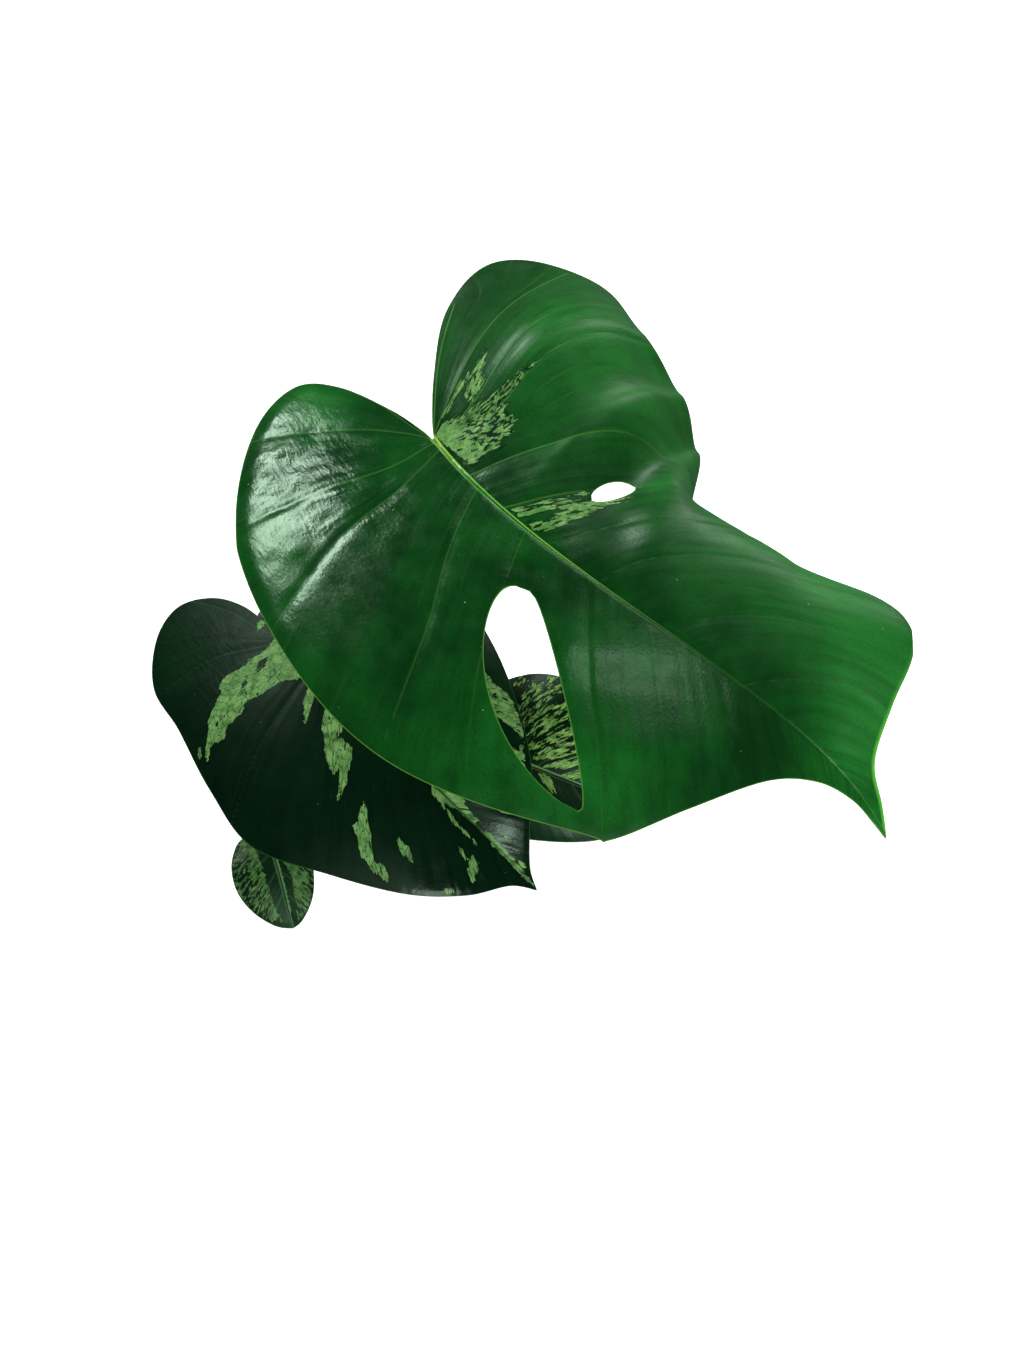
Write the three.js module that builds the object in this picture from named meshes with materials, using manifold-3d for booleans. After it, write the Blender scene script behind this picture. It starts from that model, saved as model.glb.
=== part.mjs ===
// A young variegated monstera in a plain round nursery pot.
// Millimetres, +Z up, origin at the centre of the pot's base, on the surface that it stands on.
// The plant leans towards -Y and +X, the side that its leaves face.
import * as THREE from 'three';
import { mergeVertices } from 'three/addons/utils/BufferGeometryUtils.js';
import Module from 'manifold-3d';

const wasm = await Module();
wasm.setup();

// Driving dimensions, in millimetres and degrees
const gap = 0.3; // left between neighbours that touch
const weldWithin = 1e-4; // corners closer than this are one corner
const pot = {
  height: 92,
  rimRadius: 50,
  baseRadius: 36,
  wall: 1.6,
  floor: 2,
  lipHeight: 12,
  lipStep: 2.4,
  edge: 0.8, // bevel on the rim and on the foot
  innerEdge: 0.4,
  drainCount: 6,
  drainRadius: 4,
  drainCircle: 23,
  drainSides: 12,
  sides: 48,
};
const mix = {
  top: 80, // height of the potting mix at the pot's wall
  wallGap: 0.6, // wider than gap, as its wall has fewer sides than the pot's
  mound: 4, // how much higher it is round the stem
  lump: 1.5,
  // Two crossing waves and a slanted one, in radians for each millimetre, make the lumps.
  crossWave: { x: 0.33, xStart: 0.4, y: 0.29, yStart: -0.7 },
  slantWave: { x: 0.71, y: -0.53, share: 0.5 },
  flatEdge: 6, // the higher, the narrower the level strip along the wall
  rings: 8,
  sides: 32,
};
const stem = {
  route: [[-4, 5, 50], [-4, 5, 78], [-2, 4, 104], [0, 4, 138]],
  radius: 7,
  topRadius: 5.2,
  joints: [0.4, 0.55, 0.71, 0.86], // where the petioles leave, as shares of the stem's length
  jointSwell: 0.14,
  jointReach: 0.03,
  tip: 0.06, // the share of its length that rounds off to the top
  tipBlunt: 0.1,
  sides: 12,
  steps: 24,
};
// A petiole goes from its joint on the stem, past the points of via, to the foot of its blade.
// It comes up to the blade from that far under it and that far behind it.
const petioles = {
  large: {
    joint: 3, radius: 4, topRadius: 2.8, under: 14, behind: 2,
    via: [[0, 15, 150], [5, 17, 205], [23, -3, 255]],
  },
  middle: {
    joint: 2, radius: 3.4, topRadius: 2.3, under: 10, behind: 3,
    via: [[-8, -9, 135], [-16, -28, 160]],
  },
  back: {
    joint: 1, radius: 3, topRadius: 1.9, under: 6, behind: 6,
    via: [[11, -12, 112], [38, -42, 128]],
  },
  small: {
    joint: 0, radius: 2.4, topRadius: 1.5, under: 3, behind: 6,
    via: [[-12, -18, 99], [-22, -52, 107], [-30, -78, 104]],
  },
};
const petiole = {
  lean: 0.1, // how far it starts from the stem's middle, as a share of the way to its first point
  sheath: 0.3, // the share of it that clasps the stem
  sheathSwell: 0.25,
  knee: 0.93, // the place of the swelling at its top
  kneeReach: 0.05,
  kneeSwell: 0.25,
  sides: 9,
  steps: 18,
};
const roots = {
  left: [[-3, 5, 94], [-13, 3, 93], [-20, 0, 86], [-23, -1, 72]],
  right: [[-2, 4, 101], [8, 10, 101], [16, 15, 90], [18, 17, 72]],
};
const root = { radius: 1.7, tipRadius: 1.3, sides: 8, steps: 10 };
const blade = {
  bendPieces: 12, // straight pieces that a line across the blade is bent in
  normalStep: 0.5, // how far apart the points lie that its slope is measured between
  ribTip: 0.25, // the midrib's depth at the tip, as a share of its depth at the petiole
};

// A blade is laid out flat before it is bent. x runs along the midrib from the petiole, y across it.
// Each row of veins is one side vein: its foot on the midrib, then where it meets the left margin
// and the right margin, for someone who looks from the petiole to the tip.
// midrib is the same line in space, as the four points of a Bezier curve.
// face is the way that the upper side looks, at the petiole and at the tip.
// folds are read along the midrib: [x, rise, drop, crest, turn]. The half leaves the midrib at the
// angle rise and ends at the angle -drop, and it turns over within turn of the distance crest.
const leaves = {
  large: {
    midrib: [[39, -28, 290], [78, -96, 299], [170, -124, 279], [202, -146, 208]],
    face: [[0.05, -0.25, 1], [0.55, -0.35, 0.75]],
    thickness: 0.8,
    rib: 2.6,
    veinRidge: 0.7,
    veins: [
      [0, [-5, 3], [-5, 1]],
      [0, [-22, 15], [-20, 6]],
      [0, [-45, 33], [-40, 17]],
      [0, [-56, 58], [-49, 31]],
      [0, [-46, 84], [-40, 52]],
      [2, [-24, 99], [-14, 74]],
      [8, [15, 105], [22, 89]],
      [25, [60, 107], [68, 95]],
      [50, [100, 102], [126, 76]],
      [81, [135, 92], [135, 72]],
      [110, [162, 76], [151, 48]],
      [140, [184, 56], [170, 23]],
      [170, [194, 30], [188, 10]],
      [200, [204, 12], [206, 4]],
      [220, [220, 5], [222, 2]],
      [233, [233, 0], [233, 0]],
    ],
    folds: {
      left: [
        [-50, 14, 40, 58, 50],
        [0, 32, 50, 60, 34],
        [40, 12, 51, 56, 27],
        [70, -8, 51, 50, 29],
        [95, 11, 72, 41, 28],
        [140, 8, 82, 48, 26],
        [185, 17, 80, 57, 18],
        [233, 7, 65, 36, 20],
      ],
      right: [
        [-50, 8, 25, 60, 60],
        [60, 8, 25, 60, 60],
        [120, 6, 35, 60, 60],
        [200, 4, 40, 40, 40],
        [233, 2, 40, 40, 40],
      ],
    },
    holes: {
      left: [{ vein: 8, from: 0.24, to: 0.4, rear: 0.15, front: 0.08, round: 0.5, point: 0.4 }],
      right: [{ vein: 8, from: 0.24, to: 0.93, rear: 0.5, front: 0.18, round: 0.4, point: 0.5 }],
    },
    linesPerVein: 3,
    steps: [0, 0.04, 0.12, 0.24, 0.29, 0.35, 0.4, 0.52, 0.64, 0.75, 0.86, 0.93, 1],
  },
  middle: {
    midrib: [[-21, -49, 185], [10, -88, 191], [56, -120, 166], [77, -126, 120]],
    face: [[-0.1, -0.4, 1], [0.3, -0.5, 0.7]],
    thickness: 0.8,
    rib: 2,
    veinRidge: 0.5,
    veins: [
      [0, [-5, 3], [-9, 0.8]],
      [0, [-18, 14], [-26, 3]],
      [0, [-30, 30], [-40, 10]],
      [0, [-30, 48], [-49, 23]],
      [2, [-14, 62], [-46, 39]],
      [6, [8, 68], [-32, 53]],
      [14, [30, 68], [-8, 56]],
      [30, [58, 61], [20, 63]],
      [52, [84, 48], [48, 67]],
      [76, [104, 34], [78, 53]],
      [100, [118, 19], [105, 38]],
      [122, [130, 9], [124, 22]],
      [140, [140, 3], [137, 7]],
      [151, [151, 0], [151, 0]],
    ],
    folds: {
      left: [[-30, 16, 20, 38, 36], [60, 24, 38, 34, 28], [110, 18, 44, 28, 28], [151, 10, 50, 28, 28]],
      right: [[-45, 0, 26, 38, 38], [0, 5, 25, 40, 40], [60, 7, 25, 40, 38], [151, 6, 34, 32, 32]],
    },
    holes: { left: [], right: [] },
    linesPerVein: 2,
    steps: [0, 0.06, 0.18, 0.34, 0.52, 0.7, 0.86, 1],
  },
  back: {
    midrib: [[63, -75, 138], [84, -85, 144], [108, -91, 125], [124, -82, 112]],
    face: [[0.1, -0.4, 1], [0.3, -0.5, 0.8]],
    thickness: 0.8,
    rib: 1.4,
    veinRidge: 0.3,
    veins: [
      [0, [-3, 1], [-3, 1]],
      [0, [-12, 6], [-12, 6]],
      [0, [-17, 18], [-17, 17]],
      [0, [-10, 30], [-12, 28]],
      [5, [8, 38], [2, 33]],
      [16, [27, 36], [22, 31]],
      [31, [44, 26], [42, 22]],
      [47, [57, 13], [56, 13]],
      [60, [65, 4], [65, 4]],
      [70, [70, 0], [70, 0]],
    ],
    folds: {
      left: [[-15, 12, 10, 16, 20], [25, 18, 8, 22, 20], [70, 12, 25, 20, 20]],
      right: [[-15, 9, 35, 18, 16], [25, 20, 45, 16, 12], [70, 14, 36, 15, 12]],
    },
    holes: { left: [], right: [] },
    linesPerVein: 2,
    steps: [0, 0.1, 0.28, 0.5, 0.72, 0.9, 1],
  },
  small: {
    midrib: [[-34, -92, 98], [-29, -105, 100], [-26, -118, 88], [-24, -123, 76]],
    face: [[0, -0.4, 1], [0.1, -0.7, 0.7]],
    thickness: 0.8,
    rib: 1,
    veinRidge: 0.2,
    veins: [
      [0, [-2, 1.2], [-2, 1.2]],
      [0, [-5, 5], [-5, 5]],
      [0, [-3, 13], [-3, 13]],
      [4, [6, 16], [6, 18]],
      [12, [17, 16], [18, 19]],
      [22, [28, 12], [29, 15]],
      [33, [38, 5], [38, 7]],
      [42, [42, 0], [42, 0]],
    ],
    folds: {
      left: [[-5, 10, 55, 10, 10], [20, 12, 60, 9, 9], [42, 11, 35, 10, 10]],
      right: [[-5, 6, 8, 10, 10], [20, 9, 10, 10, 10], [42, 10, 25, 10, 10]],
    },
    holes: { left: [], right: [] },
    linesPerVein: 2,
    steps: [0, 0.14, 0.36, 0.6, 0.82, 1],
  },
};

const vector = ([x, y, z]) => new THREE.Vector3(x, y, z);
const radians = THREE.MathUtils.degToRad;

// Reads a table of rows [x, a, b, ...] at x, going smoothly from row to row.
function readAlong(table, x) {
  const last = table[table.length - 1];
  if (x <= table[0][0]) return table[0].slice(1);
  if (x >= last[0]) return last.slice(1);
  const next = table.findIndex((row) => row[0] > x);
  const [before, after] = [table[next - 1], table[next]];
  const share = THREE.MathUtils.smoothstep(x, before[0], after[0]);
  return before.slice(1).map((value, i) => THREE.MathUtils.lerp(value, after[i + 1], share));
}

// Catmull-Rom value through a list of numbers, at a place counted in list steps.
function smoothValue(list, place) {
  const last = list.length - 1;
  const i = Math.min(Math.floor(place), last - 1);
  const t = place - i;
  const at = (n) => list[Math.max(0, Math.min(last, n))];
  const [a, b, c, d] = [at(i - 1), at(i), at(i + 1), at(i + 2)];
  return 0.5 * (2 * b + (c - a) * t + (2 * a - 5 * b + 4 * c - d) * t * t
    + (3 * b - a - 3 * c + d) * t * t * t);
}

// Where a flat point (x, y) of a blade's half lies in space. side is 'left' or 'right'.
function bladePoint(leaf, side, x, y) {
  const curve = leaf.curve;
  const along = THREE.MathUtils.clamp(x / leaf.length, 0, 1);
  const tangent = curve.getTangentAt(along);
  const middle = curve.getPointAt(along);
  if (x < 0) middle.addScaledVector(tangent, x);
  const normal = vector(leaf.face[0]).normalize().lerp(vector(leaf.face[1]).normalize(), along);
  normal.addScaledVector(tangent, -normal.dot(tangent)).normalize();
  const across = new THREE.Vector3().crossVectors(normal, tangent);
  if (side === 'right') across.negate();
  const [rise, drop, crest, turn] = readAlong(leaf.folds[side], x);
  const piece = y / blade.bendPieces;
  for (let i = 0; i < blade.bendPieces; i++) {
    const turned = THREE.MathUtils.smoothstep(piece * (i + 0.5), crest - turn, crest + turn);
    const angle = radians(rise - (rise + drop) * turned);
    middle.addScaledVector(across, piece * Math.cos(angle));
    middle.addScaledVector(normal, piece * Math.sin(angle));
  }
  return middle;
}

// How far a hole reaches to either side of its vein line, at a share f of the way to the margin.
function holeReach(hole, f) {
  const q = (f - hole.from) / (hole.to - hole.from);
  if (q <= 0 || q >= 1) return 0;
  const widest = hole.round / (hole.round + hole.point);
  return (q / widest) ** hole.round * ((1 - q) / (1 - widest)) ** hole.point;
}

// The flat point at a place counted in vein rows, a share f of the way from midrib to margin.
function flatPoint(leaf, side, row, f) {
  const column = side === 'left' ? 1 : 2;
  const foot = Math.max(0, smoothValue(leaf.veins.map((vein) => vein[0]), row));
  const marginX = smoothValue(leaf.veins.map((vein) => vein[column][0]), row);
  const marginY = smoothValue(leaf.veins.map((vein) => vein[column][1]), row);
  return [foot + (marginX - foot) * f, marginY * f];
}

// Moves a vein line aside where a hole opens on its half. bank is -1 or 1 on the hole's own line.
function asideOfHoles(leaf, side, row, f, bank) {
  let moved = row;
  for (const hole of leaf.holes[side]) {
    const away = row - hole.vein;
    if (Math.abs(away) >= 1) continue;
    const way = away === 0 ? bank : Math.sign(away);
    const width = way < 0 ? hole.rear : hole.front;
    moved += way * width * holeReach(hole, f) * (1 - Math.abs(away));
  }
  return moved;
}

// The blade's middle sheet as triangles between vein lines, with its unit normals.
function bladeSheet(leaf) {
  const vertices = [];
  const found = new Map();
  const lineCount = (leaf.veins.length - 1) * leaf.linesPerVein;
  const isHole = (side, row, f) => leaf.holes[side].some(
    (hole) => Math.abs(row - hole.vein) < weldWithin && holeReach(hole, f) > 0,
  );

  function vertexAt(side, line, step, bank) {
    const row = line / leaf.linesPerVein;
    const f = leaf.steps[step];
    const [x, y] = flatPoint(leaf, side, asideOfHoles(leaf, side, row, f, bank), f);
    const onMidrib = y < weldWithin;
    const half = onMidrib ? 'midrib' : side;
    const edge = isHole(side, row, f) ? bank : 0;
    const key = [half, x.toFixed(4), y.toFixed(4), edge].join();
    if (!found.has(key)) {
      found.set(key, vertices.length);
      vertices.push({ x, y, side, onMidrib, isVein: line % leaf.linesPerVein === 0, f });
    }
    return found.get(key);
  }

  const triangles = [];
  for (const side of ['left', 'right']) {
    for (let line = 0; line < lineCount; line++) {
      for (let step = 0; step + 1 < leaf.steps.length; step++) {
        const near = [vertexAt(side, line, step, 1), vertexAt(side, line, step + 1, 1)];
        const far = [vertexAt(side, line + 1, step, -1), vertexAt(side, line + 1, step + 1, -1)];
        const corners = side === 'left'
          ? [near[0], far[0], far[1], near[1]]
          : [near[0], near[1], far[1], far[0]];
        for (const [a, b, c] of [[0, 1, 2], [0, 2, 3]]) {
          const face = [corners[a], corners[b], corners[c]];
          if (new Set(face).size === 3) triangles.push(face);
        }
      }
    }
  }
  for (const vertex of vertices) {
    vertex.point = bladePoint(leaf, vertex.side, vertex.x, vertex.y);
    vertex.normal = new THREE.Vector3();
    for (const side of vertex.onMidrib ? ['left', 'right'] : [vertex.side]) {
      vertex.normal.add(bladeNormal(leaf, side, vertex.x, vertex.y));
    }
    vertex.normal.normalize();
  }
  return { vertices, triangles };
}

// Unit normal of the blade's upper side at a flat point.
function bladeNormal(leaf, side, x, y) {
  const step = blade.normalStep;
  const alongX = bladePoint(leaf, side, x + step, y).sub(bladePoint(leaf, side, x - step, y));
  const alongY = bladePoint(leaf, side, x, y + step).sub(bladePoint(leaf, side, x, y));
  const normal = new THREE.Vector3().crossVectors(alongX, alongY).normalize();
  return side === 'left' ? normal : normal.negate();
}

// One closed solid: the sheet's two faces, alike in their triangles, and the wall round its edges.
// extra makes it that much thicker on each face.
function bladeGeometry(leaf, extra) {
  const { vertices, triangles } = bladeSheet(leaf);
  const half = leaf.thickness / 2 + extra;
  const upper = vertices.map((v) => v.point.clone().addScaledVector(v.normal, half));
  const lower = vertices.map((v) => {
    const ribTaper = THREE.MathUtils.lerp(1, blade.ribTip, v.x / leaf.length);
    const ribDepth = v.onMidrib ? leaf.rib * ribTaper : 0;
    const ridgeDepth = v.isVein && !v.onMidrib ? leaf.veinRidge * (1 - v.f) : 0;
    return v.point.clone().addScaledVector(v.normal, -half - ribDepth - ridgeDepth);
  });
  const count = vertices.length;
  const index = [];
  const edges = new Map();
  for (const [a, b, c] of triangles) {
    index.push(a, b, c, a + count, c + count, b + count);
    for (const [from, to] of [[a, b], [b, c], [c, a]]) {
      if (!edges.delete(`${to},${from}`)) edges.set(`${from},${to}`, [from, to]);
    }
  }
  for (const [from, to] of edges.values()) {
    index.push(from, from + count, to, to, from + count, to + count);
  }
  const geometry = new THREE.BufferGeometry().setFromPoints([...upper, ...lower]);
  geometry.setIndex(index);
  return geometry;
}

// A round bar bent along a smooth route, its radius given by radiusAt for each share of the way.
function bentBar(route, radiusAt, sides, steps) {
  const curve = new THREE.CatmullRomCurve3(route, false, 'centripetal');
  const frames = curve.computeFrenetFrames(steps, false);
  const bar = new THREE.CylinderGeometry(1, 1, 1, sides, steps);
  const place = bar.attributes.position;
  for (let i = 0; i < place.count; i++) {
    const step = Math.round((place.getY(i) + 0.5) * steps);
    const radius = radiusAt(step / steps);
    const point = curve.getPointAt(step / steps);
    point.addScaledVector(frames.normals[step], place.getX(i) * radius);
    point.addScaledVector(frames.binormals[step], -place.getZ(i) * radius);
    place.setXYZ(i, point.x, point.y, point.z);
  }
  return solidOf(bar);
}

// A closed geometry as a solid that can be cut.
function solidOf(geometry) {
  const plain = geometry.clone();
  plain.deleteAttribute('normal');
  plain.deleteAttribute('uv');
  const merged = mergeVertices(plain, weldWithin);
  const vertProperties = Float32Array.from(merged.attributes.position.array);
  const triVerts = Uint32Array.from(merged.index.array);
  return new wasm.Manifold(new wasm.Mesh({ numProp: 3, vertProperties, triVerts }));
}

function geometryOf(solid) {
  const { vertProperties, triVerts } = solid.getMesh();
  const geometry = new THREE.BufferGeometry();
  geometry.setAttribute('position', new THREE.BufferAttribute(vertProperties, 3));
  geometry.setIndex(new THREE.BufferAttribute(triVerts, 1));
  return geometry;
}

// A solid turned about the vertical axis, from [radius, height] points that start and end on it.
function turned(profile, sides) {
  const points = profile.map(([radius, height]) => new THREE.Vector2(radius, height));
  return new THREE.LatheGeometry(points, sides).rotateX(Math.PI / 2);
}

function potWallRadius(height) {
  const share = height / (pot.height - pot.lipHeight);
  return THREE.MathUtils.lerp(pot.baseRadius, pot.rimRadius - pot.lipStep, Math.min(1, share));
}

function potGeometry() {
  const { edge, innerEdge, wall, rimRadius, height } = pot;
  const lipFoot = height - pot.lipHeight;
  let solid = solidOf(turned([
    [0, 0],
    [pot.baseRadius - edge, 0],
    [pot.baseRadius, edge],
    [potWallRadius(lipFoot), lipFoot],
    [rimRadius - edge, lipFoot],
    [rimRadius, lipFoot + edge],
    [rimRadius, height - edge],
    [rimRadius - edge, height],
    [rimRadius - wall - edge, height],
    [rimRadius - wall - edge - innerEdge, height - edge],
    [potWallRadius(lipFoot) - wall, lipFoot - edge],
    [potWallRadius(pot.floor) - wall, pot.floor],
    [0, pot.floor],
  ], pot.sides));
  for (let i = 0; i < pot.drainCount; i++) {
    const angle = (i / pot.drainCount) * 2 * Math.PI;
    const drill = new THREE.CylinderGeometry(
      pot.drainRadius, pot.drainRadius, 4 * pot.floor, pot.drainSides,
    );
    drill.rotateX(Math.PI / 2).translate(
      pot.drainCircle * Math.cos(angle), pot.drainCircle * Math.sin(angle), 0,
    );
    solid = solid.subtract(solidOf(drill));
  }
  return geometryOf(solid);
}

// Height of the potting mix above its level at the wall, mounded and lumpy.
function mixRise(x, y) {
  const out = Math.min(1, Math.hypot(x, y) / potWallRadius(mix.top));
  const { crossWave, slantWave } = mix;
  const alongX = Math.sin(crossWave.x * x + crossWave.xStart);
  const alongY = Math.cos(crossWave.y * y + crossWave.yStart);
  const slanted = slantWave.share * Math.sin(slantWave.x * x + slantWave.y * y);
  const lumps = alongX * alongY + slanted;
  return mix.mound * (1 - out * out) + mix.lump * lumps * (1 - out ** mix.flatEdge);
}

function mixGeometry(holes) {
  const bottom = pot.floor + gap;
  const wallRadius = (height) => potWallRadius(height) - pot.wall - mix.wallGap;
  const profile = [[0, bottom], [wallRadius(bottom), bottom], [wallRadius(mix.top), mix.top]];
  for (let ring = mix.rings - 1; ring >= 0; ring--) {
    profile.push([wallRadius(mix.top) * (ring / mix.rings), mix.top]);
  }
  const geometry = turned(profile, mix.sides);
  const place = geometry.attributes.position;
  for (let i = 0; i < place.count; i++) {
    if (place.getZ(i) < mix.top - gap) continue;
    place.setZ(i, mix.top + mixRise(place.getX(i), place.getY(i)));
  }
  return geometryOf(holes.reduce((solid, hole) => solid.subtract(hole), solidOf(geometry)));
}

// The stem, thicker at its joints and rounded at its tip. extra makes it that much fatter.
function stemSolid(extra) {
  const radiusAt = (share) => {
    const swell = stem.joints.map((joint) => Math.exp(-(((share - joint) / stem.jointReach) ** 2)));
    const plain = THREE.MathUtils.lerp(stem.radius, stem.topRadius, share);
    const pastShoulder = Math.max(0, (share - (1 - stem.tip)) / stem.tip);
    const tip = Math.sqrt(Math.max(stem.tipBlunt, 1 - pastShoulder ** 2));
    return plain * (1 + stem.jointSwell * Math.max(...swell)) * tip + extra;
  };
  return bentBar(stem.route.map(vector), radiusAt, stem.sides, stem.steps);
}

// The petiole is cut clear of the stem at its sheath and of the blade at its top.
function petioleGeometry(leaf, shape) {
  const stemCurve = new THREE.CatmullRomCurve3(stem.route.map(vector), false, 'centripetal');
  const start = stemCurve.getPointAt(stem.joints[shape.joint]);
  const foot = shape.topRadius + gap;
  const up = bladeNormal(leaf, 'left', foot, 0).add(bladeNormal(leaf, 'right', foot, 0)).normalize();
  const forward = leaf.curve.getTangentAt(foot / leaf.length);
  const approach = up.clone().multiplyScalar(shape.under).addScaledVector(forward, shape.behind);
  const tilt = approach.angleTo(up);
  const below = leaf.thickness / 2 + shape.topRadius * Math.sin(tilt);
  const end = bladePoint(leaf, 'left', foot, 0).addScaledVector(up, -below);
  const knee = end.clone().sub(approach);
  const radiusAt = (share) => {
    const sheath = Math.max(0, 1 - share / petiole.sheath) * petiole.sheathSwell;
    const swell = Math.exp(-(((share - petiole.knee) / petiole.kneeReach) ** 2)) * petiole.kneeSwell;
    return THREE.MathUtils.lerp(shape.radius, shape.topRadius, share) * (1 + sheath + swell);
  };
  const route = [start, ...shape.via.map(vector), knee, end];
  start.lerp(route[1], petiole.lean);
  return geometryOf(
    bentBar(route, radiusAt, petiole.sides, petiole.steps)
      .subtract(stemSolid(gap))
      .subtract(solidOf(bladeGeometry(leaf, gap))),
  );
}

function rootSolid(route, extra) {
  const radiusAt = (share) => THREE.MathUtils.lerp(root.radius, root.tipRadius, share) + extra;
  return bentBar(route.map(vector), radiusAt, root.sides, root.steps);
}

const finishes = {
  blade: { color: 0x1c5a26, roughness: 0.35 },
  petiole: { color: 0x3f7a32, roughness: 0.5 },
  stem: { color: 0x4a6b34, roughness: 0.6 },
  aerial_root: { color: 0x6b5236, roughness: 0.85 },
  potting_mix: { color: 0x2e2219, roughness: 0.95 },
  pot: { color: 0x26282a, roughness: 0.55 },
};
const group = new THREE.Group();

function add(name, finish, geometry) {
  const material = new THREE.MeshStandardMaterial({ ...finishes[finish], metalness: 0 });
  const mesh = new THREE.Mesh(geometry, material);
  mesh.name = name;
  group.add(mesh);
}

for (const leaf of Object.values(leaves)) {
  leaf.curve = new THREE.CubicBezierCurve3(...leaf.midrib.map(vector));
  leaf.length = leaf.curve.getLength();
}
add('pot', 'pot', potGeometry());
const holes = [stemSolid(gap), ...Object.values(roots).map((route) => rootSolid(route, gap))];
add('potting_mix', 'potting_mix', mixGeometry(holes));
add('stem', 'stem', geometryOf(stemSolid(0)));
for (const [name, route] of Object.entries(roots)) {
  add(`aerial_root_${name}`, 'aerial_root', geometryOf(rootSolid(route, 0).subtract(stemSolid(gap))));
}
for (const [name, leaf] of Object.entries(leaves)) {
  add(`petiole_${name}`, 'petiole', petioleGeometry(leaf, petioles[name]));
  add(`blade_${name}`, 'blade', bladeGeometry(leaf, 0));
}

export default group;
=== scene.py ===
import math
import random

import bmesh
import bpy
import numpy as np
from mathutils import Matrix, Vector, kdtree


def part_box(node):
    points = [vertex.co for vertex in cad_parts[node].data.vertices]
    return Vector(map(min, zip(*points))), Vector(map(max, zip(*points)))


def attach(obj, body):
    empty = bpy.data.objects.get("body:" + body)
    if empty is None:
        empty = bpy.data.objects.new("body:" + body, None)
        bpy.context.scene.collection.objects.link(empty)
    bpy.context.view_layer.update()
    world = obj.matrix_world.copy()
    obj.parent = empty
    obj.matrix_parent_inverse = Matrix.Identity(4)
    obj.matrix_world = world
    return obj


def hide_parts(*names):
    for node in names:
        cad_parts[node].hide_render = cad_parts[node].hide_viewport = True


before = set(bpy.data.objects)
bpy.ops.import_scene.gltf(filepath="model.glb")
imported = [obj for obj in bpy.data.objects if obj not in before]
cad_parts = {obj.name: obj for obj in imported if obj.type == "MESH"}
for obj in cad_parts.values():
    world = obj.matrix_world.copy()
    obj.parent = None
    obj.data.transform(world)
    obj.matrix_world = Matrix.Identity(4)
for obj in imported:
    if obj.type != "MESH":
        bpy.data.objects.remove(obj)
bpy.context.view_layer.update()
mm = 0.001


# camera, at the photograph's height and angle
cameraPlan = {"place": (0.067, -0.5072, 0.9465), "tilt": 30, "lens": 60, "sensor": 36}


def placeCamera(plan):
    lens = bpy.data.cameras.new("photoCamera")
    lens.lens = plan["lens"]
    lens.sensor_width = plan["sensor"]
    holder = bpy.data.objects.new("photoCamera", lens)
    holder.location = plan["place"]
    holder.rotation_euler = (math.radians(plan["tilt"]), 0, 0)
    bpy.context.scene.collection.objects.link(holder)
    bpy.context.scene.camera = holder


placeCamera(cameraPlan)
print("camera placed")


# small helpers for the node materials
def paint(red, green, blue):
    # a colour given as seen on a screen, 0 to 255, turned into light values
    def linear(share):
        return share / 12.92 if share <= 0.04045 else ((share + 0.055) / 1.055) ** 2.4
    return tuple(linear(part / 255) for part in (red, green, blue)) + (1.0,)


def startFinish(name):
    finish = bpy.data.materials.new(name)
    finish.use_nodes = True
    tree = finish.node_tree
    return finish, tree, tree.nodes["Principled BSDF"]


def plug(tree, value, socket):
    if isinstance(value, bpy.types.NodeSocket):
        tree.links.new(value, socket)
    else:
        socket.default_value = value


def plugAll(tree, node, values):
    for name, value in values.items():
        plug(tree, value, node.inputs[name])


def addNode(tree, kind, inputs=None, **settings):
    node = tree.nodes.new(kind)
    for key, value in settings.items():
        setattr(node, key, value)
    plugAll(tree, node, inputs or {})
    return node


def sums(tree, operation, first, second=0.0, third=0.0):
    node = addNode(tree, "ShaderNodeMath", operation=operation)
    for socket, value in zip(node.inputs, (first, second, third)):
        plug(tree, value, socket)
    return node.outputs[0]


def times(tree, first, second):
    return sums(tree, "MULTIPLY", first, second)


def timesPlus(tree, first, second, base):
    return sums(tree, "MULTIPLY_ADD", first, second, base)


def fade(tree, value, low, high, start=0.0, end=1.0):
    # start where the value is under low, end where it is over high, smooth between
    node = addNode(tree, "ShaderNodeMapRange", interpolation_type="SMOOTHSTEP")
    for socket, number in zip(node.inputs, (value, low, high, start, end)):
        plug(tree, number, socket)
    return node.outputs[0]


def blendPaint(tree, share, first, second):
    # first and second are sockets, or screen colours as paint takes them
    node = addNode(tree, "ShaderNodeMix", data_type="RGBA", clamp_factor=True)
    plug(tree, share, node.inputs[0])
    for value, socket in ((first, node.inputs[6]), (second, node.inputs[7])):
        plug(tree, paint(*value) if isinstance(value, tuple) else value, socket)
    return node.outputs[2]


def readAttribute(tree, name):
    return addNode(tree, "ShaderNodeAttribute", attribute_name=name).outputs["Fac"]


def objectCoords(tree):
    return addNode(tree, "ShaderNodeTexCoord").outputs["Object"]


def stretched(tree, coords, scale, place=(0, 0, 0)):
    settings = {"Vector": coords, "Scale": scale, "Location": place}
    return addNode(tree, "ShaderNodeMapping", settings).outputs[0]


def noiseOf(tree, coords, scale=1.0, detail=2.0, roughness=0.5):
    settings = {"Vector": coords, "Scale": scale, "Detail": detail, "Roughness": roughness}
    return addNode(tree, "ShaderNodeTexNoise", settings).outputs["Fac"]


def closeFinish(tree, shader, colour, rough, height, strength, distance):
    settings = {"Height": height, "Strength": strength, "Distance": distance}
    skin = addNode(tree, "ShaderNodeBump", settings).outputs[0]
    plugAll(tree, shader, {"Base Color": colour, "Roughness": rough, "Normal": skin})


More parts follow.
